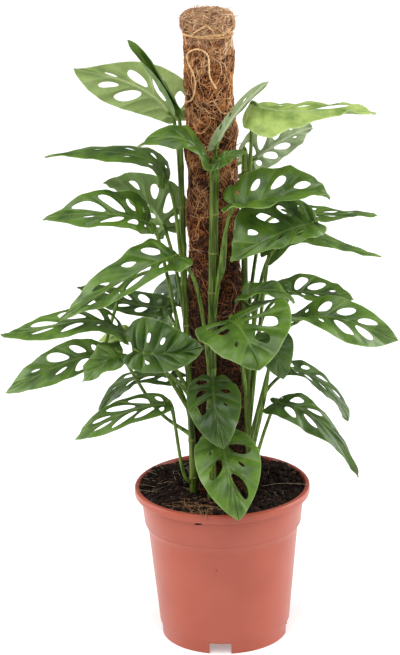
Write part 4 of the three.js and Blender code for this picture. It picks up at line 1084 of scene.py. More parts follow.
def make_stem(name):
    """A stem with cork at its leaf scars and short roots at its nodes."""
    curve = route(STEM_ROUTES[name], 220)
    share = np.linspace(0, 1, len(curve))
    radii = stem_radius(name, share, curve[:, 2])
    ends = np.clip((1 - share) * 220 / 3, 0, 1)
    radii = radii * (0.25 + 0.75 * np.sin(ends * math.pi / 2))
    body = tube(curve, radii, 18)
    points, faces, pairs = joined([body, *root_nubs(curve)])
    near = from_node(points[:, 2])
    body_faces = len(body[1])
    slots = []
    for index, face in enumerate(faces):
        scar = index < body_faces and near[face].max() < SCAR_REACH
        slots.append(2 if index >= body_faces else int(scar))
    piece = build(f"climbing_stem_{name}", points, faces, [stem_skin, scar_cork, root_cork], slots=slots)
    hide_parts(f"stem_{name}")
    return piece


stems = [make_stem(name) for name in STEM_ROUTES]
print("stem faces:", [len(stem.data.polygons) for stem in stems])

# %% [markdown]
# ## How a blade is laid out
#
# A leaf of this plant is an egg-shaped blade, folded a little along its midrib, with a row of oval holes
# in each half. Every hole lies between two side veins. So the blade gets coordinates of its own: a runs
# round the margin of one half from the joint (0) to the tip (1), and v runs from the midrib (0) out to
# the margin (1). A side vein is then a line of constant a, and a hole is an oval in a and v. The same
# formula shapes the plain solids of the frame; here it is drawn finely, with the veins and the quilted
# skin between them.

# %% The blade's outline and midrib
VEIN_START = 0.2
VEIN_STEP = 0.155
BLADE_DEFAULTS = {
    "lobes": (0.13, 0.13), "round": 0.75, "swells": (0.35, 0.35), "fold": (5, 5), "tipFold": None,
    "curl": (0, 0), "twist": 0, "wave": 1, "waves": 2.5, "via": None, "tone": "grown", "lumps": 1.0,
    "holes": ((0, 0, 0, 0), (0, 0, 0, 0)),
}


def margin(a, leaf, side):
    """The margin's place along and across the blade, as shares of its length and half width."""
    turn = np.pi * a
    lobe = np.where(side < 0, *leaf["lobes"])
    along = (1 + lobe) * (1 - np.cos(turn)) / 2 - lobe + lobe * (1 - a) ** 20
    swell = 1 + np.where(side < 0, *leaf["swells"]) * a
    across = 0.97 * np.abs(np.sin(turn)) ** leaf["round"] * swell * np.abs(1 - a**3) ** 1.1
    return along, across


def rib_at(points, s):
    """The curve through the midrib's evenly spaced points, and its direction."""
    last = len(points) - 1

    def lagrange(x):
        total = 0
        for i in range(last + 1):
            weight = np.ones_like(x)
            for j in range(last + 1):
                if j != i:
                    weight = weight * (x * last - j) / (i - j)
            total = total + weight[:, None] * points[i]
        return total

    step = 1e-3
    inside = np.clip(s, 0, 1)
    start = (lagrange(np.array([step])) - lagrange(np.array([0.0]))) / step
    place = np.where((s < 0)[:, None], points[0] + s[:, None] * start, lagrange(inside))
    near = np.clip(s, 0, 1 - step)
    along = lagrange(near + step) - lagrange(near)
    return place, unit(along)


def rib_frame(leaf, s):
    """Place, way forward, way up and way to the right along the midrib."""
    place, along = rib_at(leaf["rib"], s)
    face = np.array(leaf["face"], dtype=float)
    face /= np.linalg.norm(face)
    up = unit(face - (along @ face)[:, None] * along)
    right = np.cross(along, up)
    twist = np.radians(leaf["twist"]) * np.clip(s, 0, 1)[:, None]
    turned = right * np.cos(twist) + up * np.sin(twist)
    return place, along, up * np.cos(twist) - right * np.sin(twist), turned


def surface(leaf, a, v, side):
    """Points and upward normals of the blade, and how far across and along they lie in mm."""
    edge_along, edge_across = margin(a, leaf, side)
    root = a**2
    s = root + (edge_along - root) * v
    left, right = leaf["half"]
    half = np.where(side < 0, left, right)
    reach = half * edge_across * v
    place, along, up, out = rib_frame(leaf, s)
    at_tip = leaf["tipFold"] or leaf["fold"]
    folds = [np.radians(fold + (tip - fold) * np.clip(s, 0, 1)) for fold, tip in zip(leaf["fold"], at_tip)]
    fold = np.where(side < 0, *folds)
    bend = np.radians(np.where(side < 0, leaf["curl"][0], leaf["curl"][1])) / half
    bend = np.where(np.abs(bend) < 1e-6, 1e-6, bend)
    turn = fold + bend * reach
    sideways = (np.sin(turn) - np.sin(fold)) / bend
    rise = (np.cos(fold) - np.cos(turn)) / bend
    ripple = np.sin(2 * np.pi * (leaf["waves"] * a + 0.2 + 0.35 * (side > 0)))
    middle = np.abs(np.sin(np.pi * np.clip(a, 0, 1))) ** 0.5
    rise = rise + leaf["wave"] * ripple * v**2 * middle
    for strength, around, outward, start, power in leaf["crinkles"]:
        phase = 2 * np.pi * (around * a + outward * v * side + start)
        rise = rise + strength * np.sin(phase) * v**power * middle
    points = place + out * (sideways * side)[:, None] + up * rise[:, None]
    tilt = np.where(v == 0, (folds[1] - folds[0]) / 2 * side, turn)
    normals = up * np.cos(tilt)[:, None] - out * (np.sin(tilt) * side)[:, None]
    length = np.linalg.norm(np.diff(rib_at(leaf["rib"], np.linspace(0, 1, 9))[0], axis=0), axis=1).sum()
    return points, normals, reach, s * length, length


print("margin at a = 0.5:", [round(float(x), 3) for x in margin(np.array(0.5), BLADE_DEFAULTS, 1)])

# %% [markdown]
# ## Cutting the blade into patches
#
# Each half is cut into patches between the side veins. A patch without a hole is a grid. A patch with
# one is a set of rings that change from the patch's own outline to the hole's, so that the rim of the
# hole is a clean oval and the patches still share their edges.

# %% Patches with and without holes
ACROSS = np.array([0, 0.03, 0.08, 0.15, 0.25, 0.37, 0.5, 0.63, 0.76, 0.88, 0.96, 1.0])
WITHIN = np.array([0, 0.06, 0.14, 0.28, 0.5, 0.72, 0.86, 0.94, 1.0])
RING_SHARES = (0.0, 0.45, 0.85, 1.0)
HOLE_MIDDLE = 0.45
HOLE_REACH = 0.35
HOLE_WIDTH = 0.68  # the share of its patch that a whole hole takes up


def hole_rim(a0, a1, size, turn, shape):
    """The rim of a hole: a rounded four-cornered egg, a little different each time."""
    square, narrowing, slant, one, two = shape
    across, out = math.cos(turn), math.sin(turn)
    reach = (abs(across) ** square + abs(out) ** square) ** (-1 / square)
    reach *= 1 + 0.07 * math.sin(2 * turn + one) + 0.05 * math.sin(3 * turn + two)
    width = (a1 - a0) / 2 * HOLE_WIDTH * min(1, size * 1.1)
    a = (a0 + a1) / 2 + width * ((1 - narrowing * out) * across * reach + slant * out)
    return a, HOLE_MIDDLE + HOLE_REACH * size * out * reach


def patch_outline(a0, a1):
    """The patch's outline, once round: out, along the margin, in, and back along the midrib."""
    steps = a0 + (a1 - a0) * WITHIN
    outline = [(a0, v) for v in ACROSS[:-1]]
    outline += [(a, 1.0) for a in steps[:-1]]
    outline += [(a1, v) for v in ACROSS[:0:-1]]
    outline += [(a, 0.0) for a in steps[:0:-1]]
    return outline


PATCH_EDGES = [0, 0.07] + [VEIN_START + VEIN_STEP * k for k in range(5)] + [0.92, 1.0]


def layer(leaf):
    """One layer of the blade: its points as (a, v, side) and its faces, upper side out."""
    known, params, faces = {}, [], []

    def vertex(a, v, side):
        end = a <= 0 or a >= 1
        key = round(a, 6) if end else (round(a, 6), round(side * v, 6) + 0.0)
        if key not in known:
            known[key] = len(params)
            params.append((a, 0.0 if end else v, side))
        return known[key]

    def face(corners, side):
        ids = list(dict.fromkeys(corners))
        if len(ids) > 2:
            faces.append(ids if side > 0 else ids[::-1])

    for side, holes in ((-1, leaf["holes"][0]), (1, leaf["holes"][1])):
        sizes = [0, 0, *holes, 0, 0]
        for a0, a1, size in zip(PATCH_EDGES[:-1], PATCH_EDGES[1:], sizes):
            if not size:
                steps = a0 + (a1 - a0) * WITHIN
                grid = [[vertex(a, v, side) for v in ACROSS] for a in steps]
                for i in range(len(steps) - 1):
                    for j in range(len(ACROSS) - 1):
                        face([grid[i][j], grid[i][j + 1], grid[i + 1][j + 1], grid[i + 1][j]], side)
                continue
            outline = patch_outline(a0, a1)
            middle = (a0 + a1) / 2
            turns = [math.atan2((v - HOLE_MIDDLE) * 2, (a - middle) / (a1 - a0) * 2) for a, v in outline]
            square, narrowing, slant = rng.uniform(2.0, 2.9), rng.uniform(-0.05, 0.3), rng.uniform(-0.1, 0.35)
            shape = (square, narrowing, slant, *rng.uniform(0, 6, 2))
            rims = [hole_rim(a0, a1, size, t, shape) for t in turns]
            rings = []
            for share in RING_SHARES:
                ring_ids = []
                for (a, v), (rim_a, rim_v) in zip(outline, rims):
                    here = (a + (rim_a - a) * share, v + (rim_v - v) * share)
                    if share == 0:
                        ring_ids.append(vertex(*here, side))
                    else:
                        ring_ids.append(len(params))
                        params.append((*here, side))
                rings.append(ring_ids)
            for outer, inner in zip(rings[:-1], rings[1:]):
                for k in range(len(outer)):
                    n = (k + 1) % len(outer)
                    face([outer[k], outer[n], inner[n], inner[k]], side)
    return np.array(params), faces


print("a patch outline has", len(patch_outline(0.2, 0.355)), "points")

# %% [markdown]
# ## Skin, veins and thickness
#
# The skin between two side veins is pushed up a little, like a quilt, and the veins lie in grooves.
# Below, the midrib stands out as a rib that thins towards the tip, and the side veins as faint ridges.

# %% One whole leaf
BLADE_THICKNESS = 0.42


def relief(leaf, a, v, across, length):
    """How far the upper and the lower skin stand off the middle of the blade."""
    phase = (a - VEIN_START) / VEIN_STEP
    off = np.abs(phase - np.round(phase))
    vein_distance = off * VEIN_STEP * length * 0.9 + (1 - np.clip(v * 6, 0, 1)) * 3
    quilt = leaf["quilt"] * np.sin(np.pi * off) ** 0.8 * np.sin(np.pi * np.clip(v, 0, 1)) ** 0.6
    groove = 0.16 * np.exp(-((vein_distance / 0.7) ** 2)) * (1 - v)
    trough = 0.45 * np.exp(-((across / 1.0) ** 2))
    thickness = BLADE_THICKNESS * (1 - 0.5 * np.clip((v - 0.9) / 0.1, 0, 1))
    upper = quilt - groove - trough * (1 - 0.7 * a) + thickness / 2
    rib_height = (0.95 - 0.7 * np.clip(a, 0, 1)) * np.exp(-((across / 0.75) ** 2))
    ridge = 0.22 * np.exp(-((vein_distance / 0.5) ** 2)) * (1 - v)
    lower = quilt - rib_height - ridge - trough * 0.5 - thickness / 2
    return upper, lower


def blade(leaf):
    """Both skins and the thin edge between them."""
    params, faces = layer(leaf)
    a, v, side = params.T
    points, normals, across, along, length = surface(leaf, a, v, side)
    upper, lower = relief(leaf, a, v, across, length)
    count = len(params)
    both = np.concatenate([points + normals * upper[:, None], points + normals * lower[:, None]])
    edges = {(face[i], face[(i + 1) % len(face)]) for face in faces for i in range(len(face))}
    rim = [(p, q) for p, q in edges if (q, p) not in edges]
    walls = [[p + count, q + count, q, p] for p, q in sorted(rim)]
    below = [[i + count for i in reversed(face)] for face in faces]
    veins = np.stack([0.5 + 0.5 * v * side, a], axis=1)
    sizes = np.stack([across * side / 100 + 0.5, along / 100], axis=1)
    slots = [0] * len(faces) + [1] * len(below) + [0] * len(walls)
    return both, faces + below + walls, np.tile(veins, (2, 1)), np.tile(sizes, (2, 1)), slots


def stem_point(name, z):
    """The middle of a stem at a height."""
    curve = route(STEM_ROUTES[name], 400)
    return np.array([np.interp(z, curve[:, 2], curve[:, k]) for k in range(3)])


def stalk(leaf):
    """The stalk: sheathed where it leaves its stem, and a little swollen at the joint."""
    start = stem_point(leaf["stem"], leaf["at"])
    place, _, up, _ = rib_frame(leaf, np.array([0.0, 0.09]))
    joint, end = place - up * 0.8
    rise = 0.12 * np.linalg.norm(place[0] - start)
    via = leaf["via"] if leaf["via"] else (start + place[0]) / 2 + [0, 0, rise]
    line = route([start, via, joint, end], 42)
    share = np.linspace(0, 1, 43)
    sheath = 0.4 * np.exp(-((share / 0.1) ** 2))
    knee = 0.25 * np.exp(-(((share - 0.64) / 0.05) ** 2))
    radii = 1.2 - 0.3 * share + sheath + knee
    radii[-1] *= 0.5
    return tube(line, radii, 10, oval=0.08)


CRINKLES = ((2.2, 1.0, 0.7), (3.7, 1.5, 0.75), (6.5, 2.5, 0.6), (11.0, 3.5, 0.35))


def make_leaf(name, leaf):
    """Blade and stalk as one piece; leaf is its row of the table with the usual values filled in."""
    size = min(max(leaf["half"]), 30) / 20
    crinkles = []
    for around, power, strength in CRINKLES:
        height = strength * size * rng.uniform(0.6, 1.2)
        turned = around * rng.uniform(0.8, 1.2)
        crinkles.append((height, turned, rng.uniform(-0.5, 0.5), rng.random(), power))
    leaf = {**leaf, "crinkles": crinkles}
    leaf["quilt"] = 1.2 * size * leaf["lumps"]
    leaf["rib"] = np.array(leaf["rib"], dtype=float)
    points, faces, veins, sizes, slots = blade(leaf)
    stalk_points, stalk_faces, stalk_pairs = stalk(leaf)
    count = len(points)
    faces = faces + [[i + count for i in face] for face in stalk_faces]
    slots = slots + [2] * len(stalk_faces)
    points = np.concatenate([points, stalk_points])
    uvs = {"veins": np.concatenate([veins, stalk_pairs]), "sizes": np.concatenate([sizes, stalk_pairs])}
    piece = build(f"monstera_{name}", points, faces, skins[leaf["tone"]], uvs=uvs, slots=slots, sharp=60)
    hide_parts(name)
    return piece


print("blade thickness", BLADE_THICKNESS, "mm")

# %% [markdown]
# ## Leaf skin
#
# A grown leaf is a cool mid green with a satin wax, a paler matt underside, and light veins. A new leaf
# is thin and yellow-green. The vein pattern is read from the blade's own coordinates, so it always
# fits the holes: broad lines at the side veins, and finer ones between them that wander a little.


# %% Material: leaf skin
def leaf_skin(name, deep, light, vein, rough, vein_strength, glow):
    """Skin with veins; glow is how much light comes through the blade."""
    material, tree, shader = new_material(name)
    coords = node(tree, "TexCoord").outputs["Object"]
    own = node(tree, "UVMap", uv_map="veins")
    split = node(tree, "SeparateXYZ", links={"Vector": own})
    sizes = node(tree, "UVMap", uv_map="sizes")
    size_split = node(tree, "SeparateXYZ", links={"Vector": sizes})
    # Patches of deeper and lighter green, about 11 mm across, and a mottle of 1.5 mm.
    patches = blotches(tree, 11, 4.0, coords)
    mottle = blotches(tree, 1.5, 4.0, coords)
    # The skin is deepest over the midrib and turns paler towards the margin.
    outwards = maths(tree, "SUBTRACT", split.outputs["X"], 0.5)
    margin_share = maths(tree, "ABSOLUTE", outwards)
    greened = maths(tree, "MULTIPLY_ADD", margin_share, 0.35, patches)
    base = node(tree, "ValToRGB", links={"Fac": greened}, stops=[(0.42, deep), (0.74, light)])
    # Side veins: how near a is to a whole number of vein steps, shaken by the mottle.
    shaken = maths(tree, "MULTIPLY_ADD", mottle, 0.012, split.outputs["Y"])
    phase = maths(tree, "MULTIPLY_ADD", shaken, 1 / VEIN_STEP, -VEIN_START / VEIN_STEP)
    near = maths(tree, "PINGPONG", phase, 1.0)
    side_vein = fade(tree, near, (0.0, 0.09), (1.0, 0.0))
    doubled = maths(tree, "MULTIPLY", phase, 4.0)
    fine_near = maths(tree, "PINGPONG", doubled, 1.0)
    fine_vein = fade(tree, fine_near, (0.0, 0.3), (0.35, 0.0))
    # The midrib is a little over 1 mm wide.
    offset = maths(tree, "SUBTRACT", size_split.outputs["X"], 0.5)
    distance = maths(tree, "ABSOLUTE", offset)
    midrib = fade(tree, distance, (0.004, 0.012), (1.0, 0.0))
    lines = maths(tree, "MAXIMUM", side_vein, fine_vein)
    faded = maths(tree, "MULTIPLY", lines, vein_strength)
    faint_rib = maths(tree, "MULTIPLY", midrib, vein_strength * 1.6)
    drawn = maths(tree, "MAXIMUM", faded, faint_rib)
    # A thin pale line runs round the margin, where v is almost -1 or +1.
    edge = fade(tree, margin_share, (0.482, 0.496), (0.0, 0.6))
    pale = maths(tree, "MAXIMUM", drawn, edge)
    veined = node(tree, "Mix", {7: colour(vein)}, {0: pale, 6: base}, data_type="RGBA")
    shade = node(tree, "ValToRGB", links={"Fac": mottle}, stops=[(0.3, 0.86), (0.7, 1.0)])
    final = node(
        tree, "Mix", {0: 1.0}, {6: veined.outputs[2], 7: shade}, data_type="RGBA",
        blend_type="MULTIPLY",
    )
    height = maths(tree, "MULTIPLY_ADD", lines, -0.5, mottle)
    bump = node(tree, "Bump", {"Strength": 0.25, "Distance": 0.0003}, {"Height": height})
    depth = {"Subsurface Weight": glow, "Subsurface Radius": (0.5, 1.0, 0.2), "Subsurface Scale": MM}
    connect(
        tree, shader, {"Roughness": rough, "IOR": 1.42, **depth},
        {"Base Color": final.outputs[2], "Normal": bump},
    )
    return material


TONES = {
    "grown": ("#304c14", "#577723", "#89a254"),
    "deep": ("#263f10", "#43601b", "#769046"),
    "fresh": ("#4a6b1a", "#71902b", "#9db25f"),
    "new": ("#73903f", "#aac068", "#ccd99a"),
    # A paler grey-green for the leaves seen from behind, with painted sheen mixed into the colour.
    "pale_grey_sheen": ("#4d6834", "#6b8350", "#94a779"),
}
UNDERSIDES = {
    "grown": ("#56703c", "#6a834c", "#8aa069"),
    "deep": ("#4c6534", "#5c7542", "#7c925c"),
    "fresh": ("#6d8848", "#7e9856", "#9db178"),
    "new": ("#859d58", "#9ab06a", "#b9c98c"),
    # The underside's own paler grey-green, lightened further with painted sheen.
    "pale_grey_sheen": ("#75885a", "#8e9f72", "#adb994"),
}
skins = {}
for tone in TONES:
    top = leaf_skin(f"leaf_upper_{tone}", *TONES[tone], rough=0.38, vein_strength=0.22, glow=0.05)
    under = leaf_skin(f"leaf_under_{tone}", *UNDERSIDES[tone], rough=0.6, vein_strength=0.5, glow=0.08)
    skins[tone] = [top, under, stalk_skin]
print("leaf skins:", ", ".join(skins))

# %% [markdown]
# ## Every leaf by itself
#
# The table gives each leaf's stem and the height it grows from, a point its stalk passes, its midrib from
# joint to tip, its half widths, the way its upper face looks, and how far each hole has opened. What a
# row leaves out has its usual value from BLADE_DEFAULTS.

# %% The leaves
LEAVES = {
    "leaf_01": {
        "stem": "left", "at": 300, "via": (-25, 1, 348), "tone": "new",
        "rib": [(-27.5, 10, 363), (-44.8, 12, 382.4), (-67.4, 10, 393.4), (-92.4, 6, 401)],
        "half": (41, 7), "face": (-0.2, 0.95, -0.3), "fold": (6, 6), "lobes": (0.1, 0.03), "swells": (-1, 4),
        "holes": ((0.8, 0.9, 0.8, 0.4), (0, 0, 0.95, 0.6)),
    },
    "leaf_02": {
        "stem": "left", "at": 330, "via": (-23, -8, 364),
        "rib": [(-26, -10, 374), (-39, -8, 398), (-56, -4, 422)],
        "half": (9.5, 9.5), "face": (0.6, -1, -0.2), "fold": (10, 10), "curl": (150, 150), "wave": 0,
    },
    "leaf_03": {
        "stem": "left", "at": 245, "via": (-28, -12, 311),
        "rib": [(-34, -14, 331), (-48, -14, 345), (-78, -10, 348), (-113, -4, 344)],
        "half": (16, 17), "face": (0.1, -0.2, 1), "fold": (0, 0), "twist": -14,
        "holes": ((0.3, 0.3, 0.2, 0), (0.3, 0.4, 0.3, 0.3)),
    },
    "leaf_04": {
        "stem": "front", "at": 330,
        "rib": [(-6, -32, 346), (-23, -39, 364), (-51, -35, 358)],
        "half": (10, 18), "face": (0.1, -0.35, 1), "curl": (-20, -15),
        "holes": ((0, 0.3, 0, 0), (0, 0.3, 0, 0)),
    },
    "leaf_05": {
        "stem": "front", "at": 322,
        "rib": [(1, -30.5, 346.5), (10, -33, 351), (20.5, -34, 353.5)],
        "half": (7, 12), "face": (0, -0.5, 0.85), "wave": 0,
        "lobes": (0.3, 0.3), "swells": (-0.5, -0.5),
    },
    "leaf_06": {
        "stem": "front", "at": 343, "tone": "pale_grey_sheen",
        "rib": [(0, -25, 354), (14, -26, 377), (35, -20, 396)],
        "half": (9, 9), "face": (-0.6, 1, -0.4), "fold": (20, 20), "curl": (120, 120), "wave": 0,
        "holes": ((0, 0.45, 0.5, 0.3), (0, 0.4, 0.45, 0.3)),
    },
    "leaf_07": {
        "stem": "right", "at": 280, "via": (23.2, -11.0, 350.3), "tone": "new",
        "rib": [(24, -9, 379), (45.5, -20, 376), (74.8, -20, 374.7), (105, -16, 371.8)],
        "half": (9, 42), "face": (0, 0.1, 1), "fold": (0, -55), "tipFold": (35, 17), "wave": 0.4,
        "lobes": (0.02, 0.02), "swells": (1.6, -1), "round": 1.1,
        "holes": ((0, 0.35, 0.4, 0.8), (0, 0, 0, 0.3)),
    },
    "leaf_08": {
        "stem": "right", "at": 255, "via": (20, 0, 324), "tone": "pale_grey_sheen",
        "rib": [(23, 4, 335), (46, 14, 348), (65, 24, 352)],
        "half": (13, 18), "face": (-0.2, 0.9, 0.1),
        "holes": ((0.6, 0.95, 0.9, 0.3), (0.9, 0.9, 0.9, 0.4)),
    },
    "leaf_09": {
        "stem": "front", "at": 228, "via": (4, -32, 292), "lumps": 1.5,
        "rib": [(10, -30, 315), (33, -34, 321), (56, -34, 324), (74, -26, 318)],
        "half": (23, 20), "face": (0, 0, 1), "fold": (45, 5),
        "holes": ((0.3, 0.5, 0.6, 0.65), (0, 0, 0.3, 0.4)),
    },
    "leaf_10": {
        "stem": "right", "at": 225, "via": (30, 4, 288),
        "rib": [(49, 20, 294), (80, 22, 292), (108, 22, 291)],
        "half": (14, 15), "face": (0, -0.12, 1), "swells": (-0.35, -0.45),
        "holes": ((0.5, 0.5, 0.7, 0.4), (0.5, 0.5, 0.8, 0.4)),
    },
    "leaf_11": {
        "stem": "right", "at": 185, "via": (32, -24, 274),
        "rib": [(64, -31, 303), (46, -40, 301), (27, -46, 294), (8, -46, 282)],
        "half": (19.5, 25.5), "face": (-0.3, -0.6, 0.75), "fold": (0, 0), "swells": (-0.6, 1.3),
        "holes": ((0.3, 0.6, 0.4, 0), (0.45, 0.5, 0.6, 0.4)),
    },
    "leaf_12": {
        "stem": "right", "at": 150, "via": (32, -12, 264),
        "rib": [(36, -14, 279), (56, -18, 292), (79, -15, 283), (109, -8, 271.5)],
        "half": (17, 15), "face": (0.1, -0.5, 0.8), "fold": (0, 0), "twist": 22, "round": 1,
        "swells": (-0.45, -0.5),
        "holes": ((0.4, 0.8, 0.4, 0), (0.3, 0.8, 0.2, 0)),
    },
    "leaf_13": {
        "stem": "left", "at": 190, "via": (-39, -14, 288),
        "rib": [(-46, -18, 301), (-61, -26, 309), (-83, -28, 311), (-115, -18, 305)],
        "half": (12.5, 21), "face": (0, -0.55, 0.8), "round": 0.6,
        "holes": ((0.3, 0.8, 0.8, 0.3), (0.3, 0.6, 0.95, 0.95)),
    },
    "leaf_14": {
        "stem": "left", "at": 225, "tone": "fresh", "lumps": 1.4,
        "rib": [(-34.5, 4, 289), (-49, 5, 311), (-75, 4, 323)],
        "half": (25, 11), "face": (-0.3, 0.7, 0.6), "fold": (10, 10), "swells": (0.1, 0.35),
        "holes": ((0.6, 0.8, 0.6, 0.5), (0.3, 0.6, 0.7, 0.3)),
    },
    "leaf_15": {
        "stem": "front", "at": 190, "via": (-14, -30, 258),
        "rib": [(-26, -32, 282), (-45, -44, 280), (-75, -48, 264), (-106, -38, 241)],
        "half": (18, 28), "face": (-0.3, -0.6, 0.8), "fold": (0, 0), "swells": (-0.3, -0.3), "round": 0.65,
        "holes": ((0.3, 0.5, 0.98, 0.98), (0, 0.75, 0.42, 0.5)),
    },
    "leaf_16": {
        "stem": "left", "at": 200, "tone": "deep", "lumps": 1.6,
        "rib": [(-36, 10, 232), (-67, 16, 236), (-95, 14, 247.5)],
        "half": (12, 13), "face": (0, -0.4, 0.9),
        "holes": ((0.6, 0.8, 0.6, 0.2), (0.5, 0.8, 0.6, 0.3)),
    },
    "leaf_17": {
        "stem": "left", "at": 165, "via": (-47, -18, 212),
        "rib": [(-66, -24, 227), (-88, -32, 239), (-116, -32, 234), (-146, -22, 227)],
        "half": (11, 15), "face": (0, -0.35, 0.93), "swells": (1.2, 0.35),
        "holes": ((0, 0.2, 0.7, 0.6), (0.8, 0.9, 0.9, 0.8)),
    },
    "leaf_18": {
        "stem": "left", "at": 268, "via": (-60.4, -5, 255.6),
        "rib": [(-79, -12, 207), (-99, -18, 206), (-122, -18, 196), (-145, -12, 182)],
        "half": (14, 16), "face": (0, -0.55, 0.85),
        "holes": ((0.5, 0.95, 0.4, 0), (0.5, 0.7, 0.9, 0.3)),
    },
    "leaf_19": {
        "stem": "left", "at": 148, "via": (-43.5, -5, 165.5), "lumps": 1.9,
        "rib": [(-65, -30, 214), (-77, -36, 211), (-92, -32, 196)],
        "half": (11, 12), "face": (0, -0.6, 0.8), "fold": (15, 15), "wave": 2, "waves": 3.5,
    },
    "leaf_20": {
        "stem": "front", "at": 150, "via": (-26, -42, 195), "tone": "deep", "lumps": 1.9,
        "rib": [(-56, -56, 225), (-34, -64, 226), (-11, -62, 229)],
        "half": (30, 13), "face": (-0.1, -0.9, 0.35), "round": 0.55,
        "lobes": (0.2, 0.2), "swells": (-0.3, 0.35),
        "holes": ((0, 0.4, 0.35, 0), (0, 0.4, 0, 0)),
    },
    "leaf_21": {
        "stem": "left", "at": 125, "via": (-22, -4, 162), "tone": "deep",
        "rib": [(-31, 0, 186), (-54, 6, 185), (-71, 8, 175), (-84, 6, 159)],
        "half": (14, 13), "face": (0, -0.3, 1), "swells": (-0.2, -0.3),
        "holes": ((0.8, 0.8, 0.5, 0.3), (0.8, 0.8, 0.6, 0.3)),
    },
    "leaf_22": {
        "stem": "left", "at": 113, "via": (-26.5, -16, 124),
        "rib": [(-33, -21, 174), (-56, -27, 174), (-79, -28, 165), (-99, -22, 151)],
        "half": (11, 11), "face": (0, -0.6, 0.8), "lobes": (0.02, 0.02), "round": 0.85,
        "holes": ((0.6, 0.9, 0.9, 0.6), (0.6, 0.9, 0.9, 0.6)),
    },
    "leaf_23": {
        "stem": "front", "at": 190, "via": (-4, -28, 201), "tone": "deep", "lumps": 1.5,
        "rib": [(-5, -34, 196), (-4, -62, 185), (1, -72, 161)],
        "half": (18, 18), "face": (0, -0.75, 0.6), "fold": (3, 3), "curl": (-15, -15),
        "holes": ((0.5, 0.5, 0.2, 0), (0.8, 0.55, 0.9, 0)),
    },
    "leaf_24": {
        "stem": "front", "at": 120, "via": (-4, -34, 160), "lumps": 1.4,
        "rib": [(-1, -40, 158), (4, -70, 144), (10, -84, 115)],
        "half": (23, 20.5), "face": (0, -0.8, 0.6), "fold": (3, 3), "curl": (-15, -15),
        "holes": ((0, 0.92, 0.25, 0.98), (0, 0.3, 0.85, 0)),
    },
    "leaf_25": {
        "stem": "right", "at": 175, "via": (10, -29, 235),
        "rib": [(6, -37, 238), (15, -69, 241), (25, -93, 223)],
        "half": (36, 21.5), "face": (0.05, -0.75, 0.65), "round": 0.62,
        "lobes": (0.13, 0.2), "swells": (0.35, 1.1),
        "holes": ((0.5, 0.95, 0.98, 0.7), (0, 0.8, 0.5, 0.3)),
    },
    "leaf_26": {
        "stem": "right", "at": 203, "via": (23, -18, 234), "lumps": 1.9,
        "rib": [(15, -31, 252), (32, -38, 259), (50, -38, 250)],
        "half": (8, 8.5), "face": (0, -0.4, 1), "fold": (20, 20), "wave": 1.6, "waves": 3.5,
    },
    "leaf_27": {
        "stem": "right", "at": 171, "via": (29, 0, 226),
        "rib": [(44, 2, 244), (60, 8, 242), (76, 8, 239), (91, 6, 237)],
        "half": (15, 12), "face": (0, -0.15, 1), "fold": (25, 5),
        "holes": ((0.2, 0.95, 0.9, 0.3), (0, 0.4, 0.4, 0)),
    },
    "leaf_28": {
        "stem": "right", "at": 140, "via": (38, -18, 214),
        "rib": [(52, -26, 234), (75, -34, 238), (96, -34, 231), (119, -26, 218)],
        "half": (15, 18), "face": (0.1, -0.3, 1), "fold": (15, 38), "twist": -65, "tipFold": (0, -5),
        "holes": ((0.3, 0.7, 0.75, 0.75), (0, 0.3, 0.8, 0.85)),
    },
    "leaf_29": {
        "stem": "right", "at": 126, "via": (30, -27, 184), "tone": "deep",
        "rib": [(34, -27, 225), (37, -37, 216), (42, -39, 197)],
        "half": (13, 13), "face": (0.1, -0.9, 0.5),
    },
    "leaf_30": {
        "stem": "right", "at": 125, "via": (28, -6, 171), "tone": "deep",
        "rib": [(46, 6, 188), (63, 12, 180), (78, 14, 165), (87, 12, 147)],
        "half": (11, 12), "face": (0.3, -0.15, 1), "swells": (1, 1),
        "holes": ((0.6, 0.6, 0.6, 0.5), (0.6, 0.6, 0.6, 0.5)),
    },
    "leaf_31": {
        "stem": "right", "at": 110, "via": (27, -20, 147), "tone": "deep",
        "rib": [(36, -20, 173), (54, -30, 172), (74, -32, 155), (92, -26, 121)],
        "half": (14, 20), "face": (0.35, -0.6, 0.75), "round": 0.85, "swells": (-0.4, -0.4),
        "holes": ((0.2, 0.7, 0.55, 0), (0, 0.75, 0.6, 0)),
    },
    "leaf_32": {
        "stem": "left", "at": 215, "tone": "deep",
        "rib": [(-26, 22, 243), (-36, 26, 232), (-48, 27, 213)],
        "half": (12, 13), "face": (-0.5, -0.7, 0.6),
        "holes": ((0.2, 0.3, 0, 0), (0, 0.2, 0.2, 0)),
    },
    "leaf_33": {
        "stem": "left", "at": 179, "via": (-37, -8, 205), "tone": "new",
        "rib": [(-59, -2, 217), (-69.5, -1, 217.3), (-81.5, 4, 212)],
        "half": (9.3, 8.8), "face": (0, -0.4, 0.9), "fold": (10, 10), "wave": 0.5,
    },
    "leaf_34": {
        "stem": "back", "at": 285,
        "rib": [(8, 36, 306), (8, 56, 317), (6, 78, 314), (4, 98, 298)],
        "half": (18, 18), "face": (0, 0.3, 1), "fold": (10, 10),
        "holes": ((0.6, 0.9, 0.8, 0.5), (0.7, 0.9, 0.8, 0.4)),
    },
    "leaf_35": {
        "stem": "back", "at": 225, "tone": "deep",
        "rib": [(-18, 30, 232), (-27, 44, 226), (-34, 50, 214), (-42, 48, 203)],
        "half": (15, 15), "face": (-0.3, -0.4, 0.9), "fold": (10, 10),
        "holes": ((0.7, 0.8, 0.8, 0.4), (0.5, 0.9, 0.7, 0.5)),
    },
    "leaf_36": {
        "stem": "back", "at": 190, "tone": "deep",
        "rib": [(14, 36, 222), (24, 54, 230), (36, 72, 224), (48, 88, 206)],
        "half": (18, 18), "face": (0.2, 0.4, 1), "fold": (10, 10),
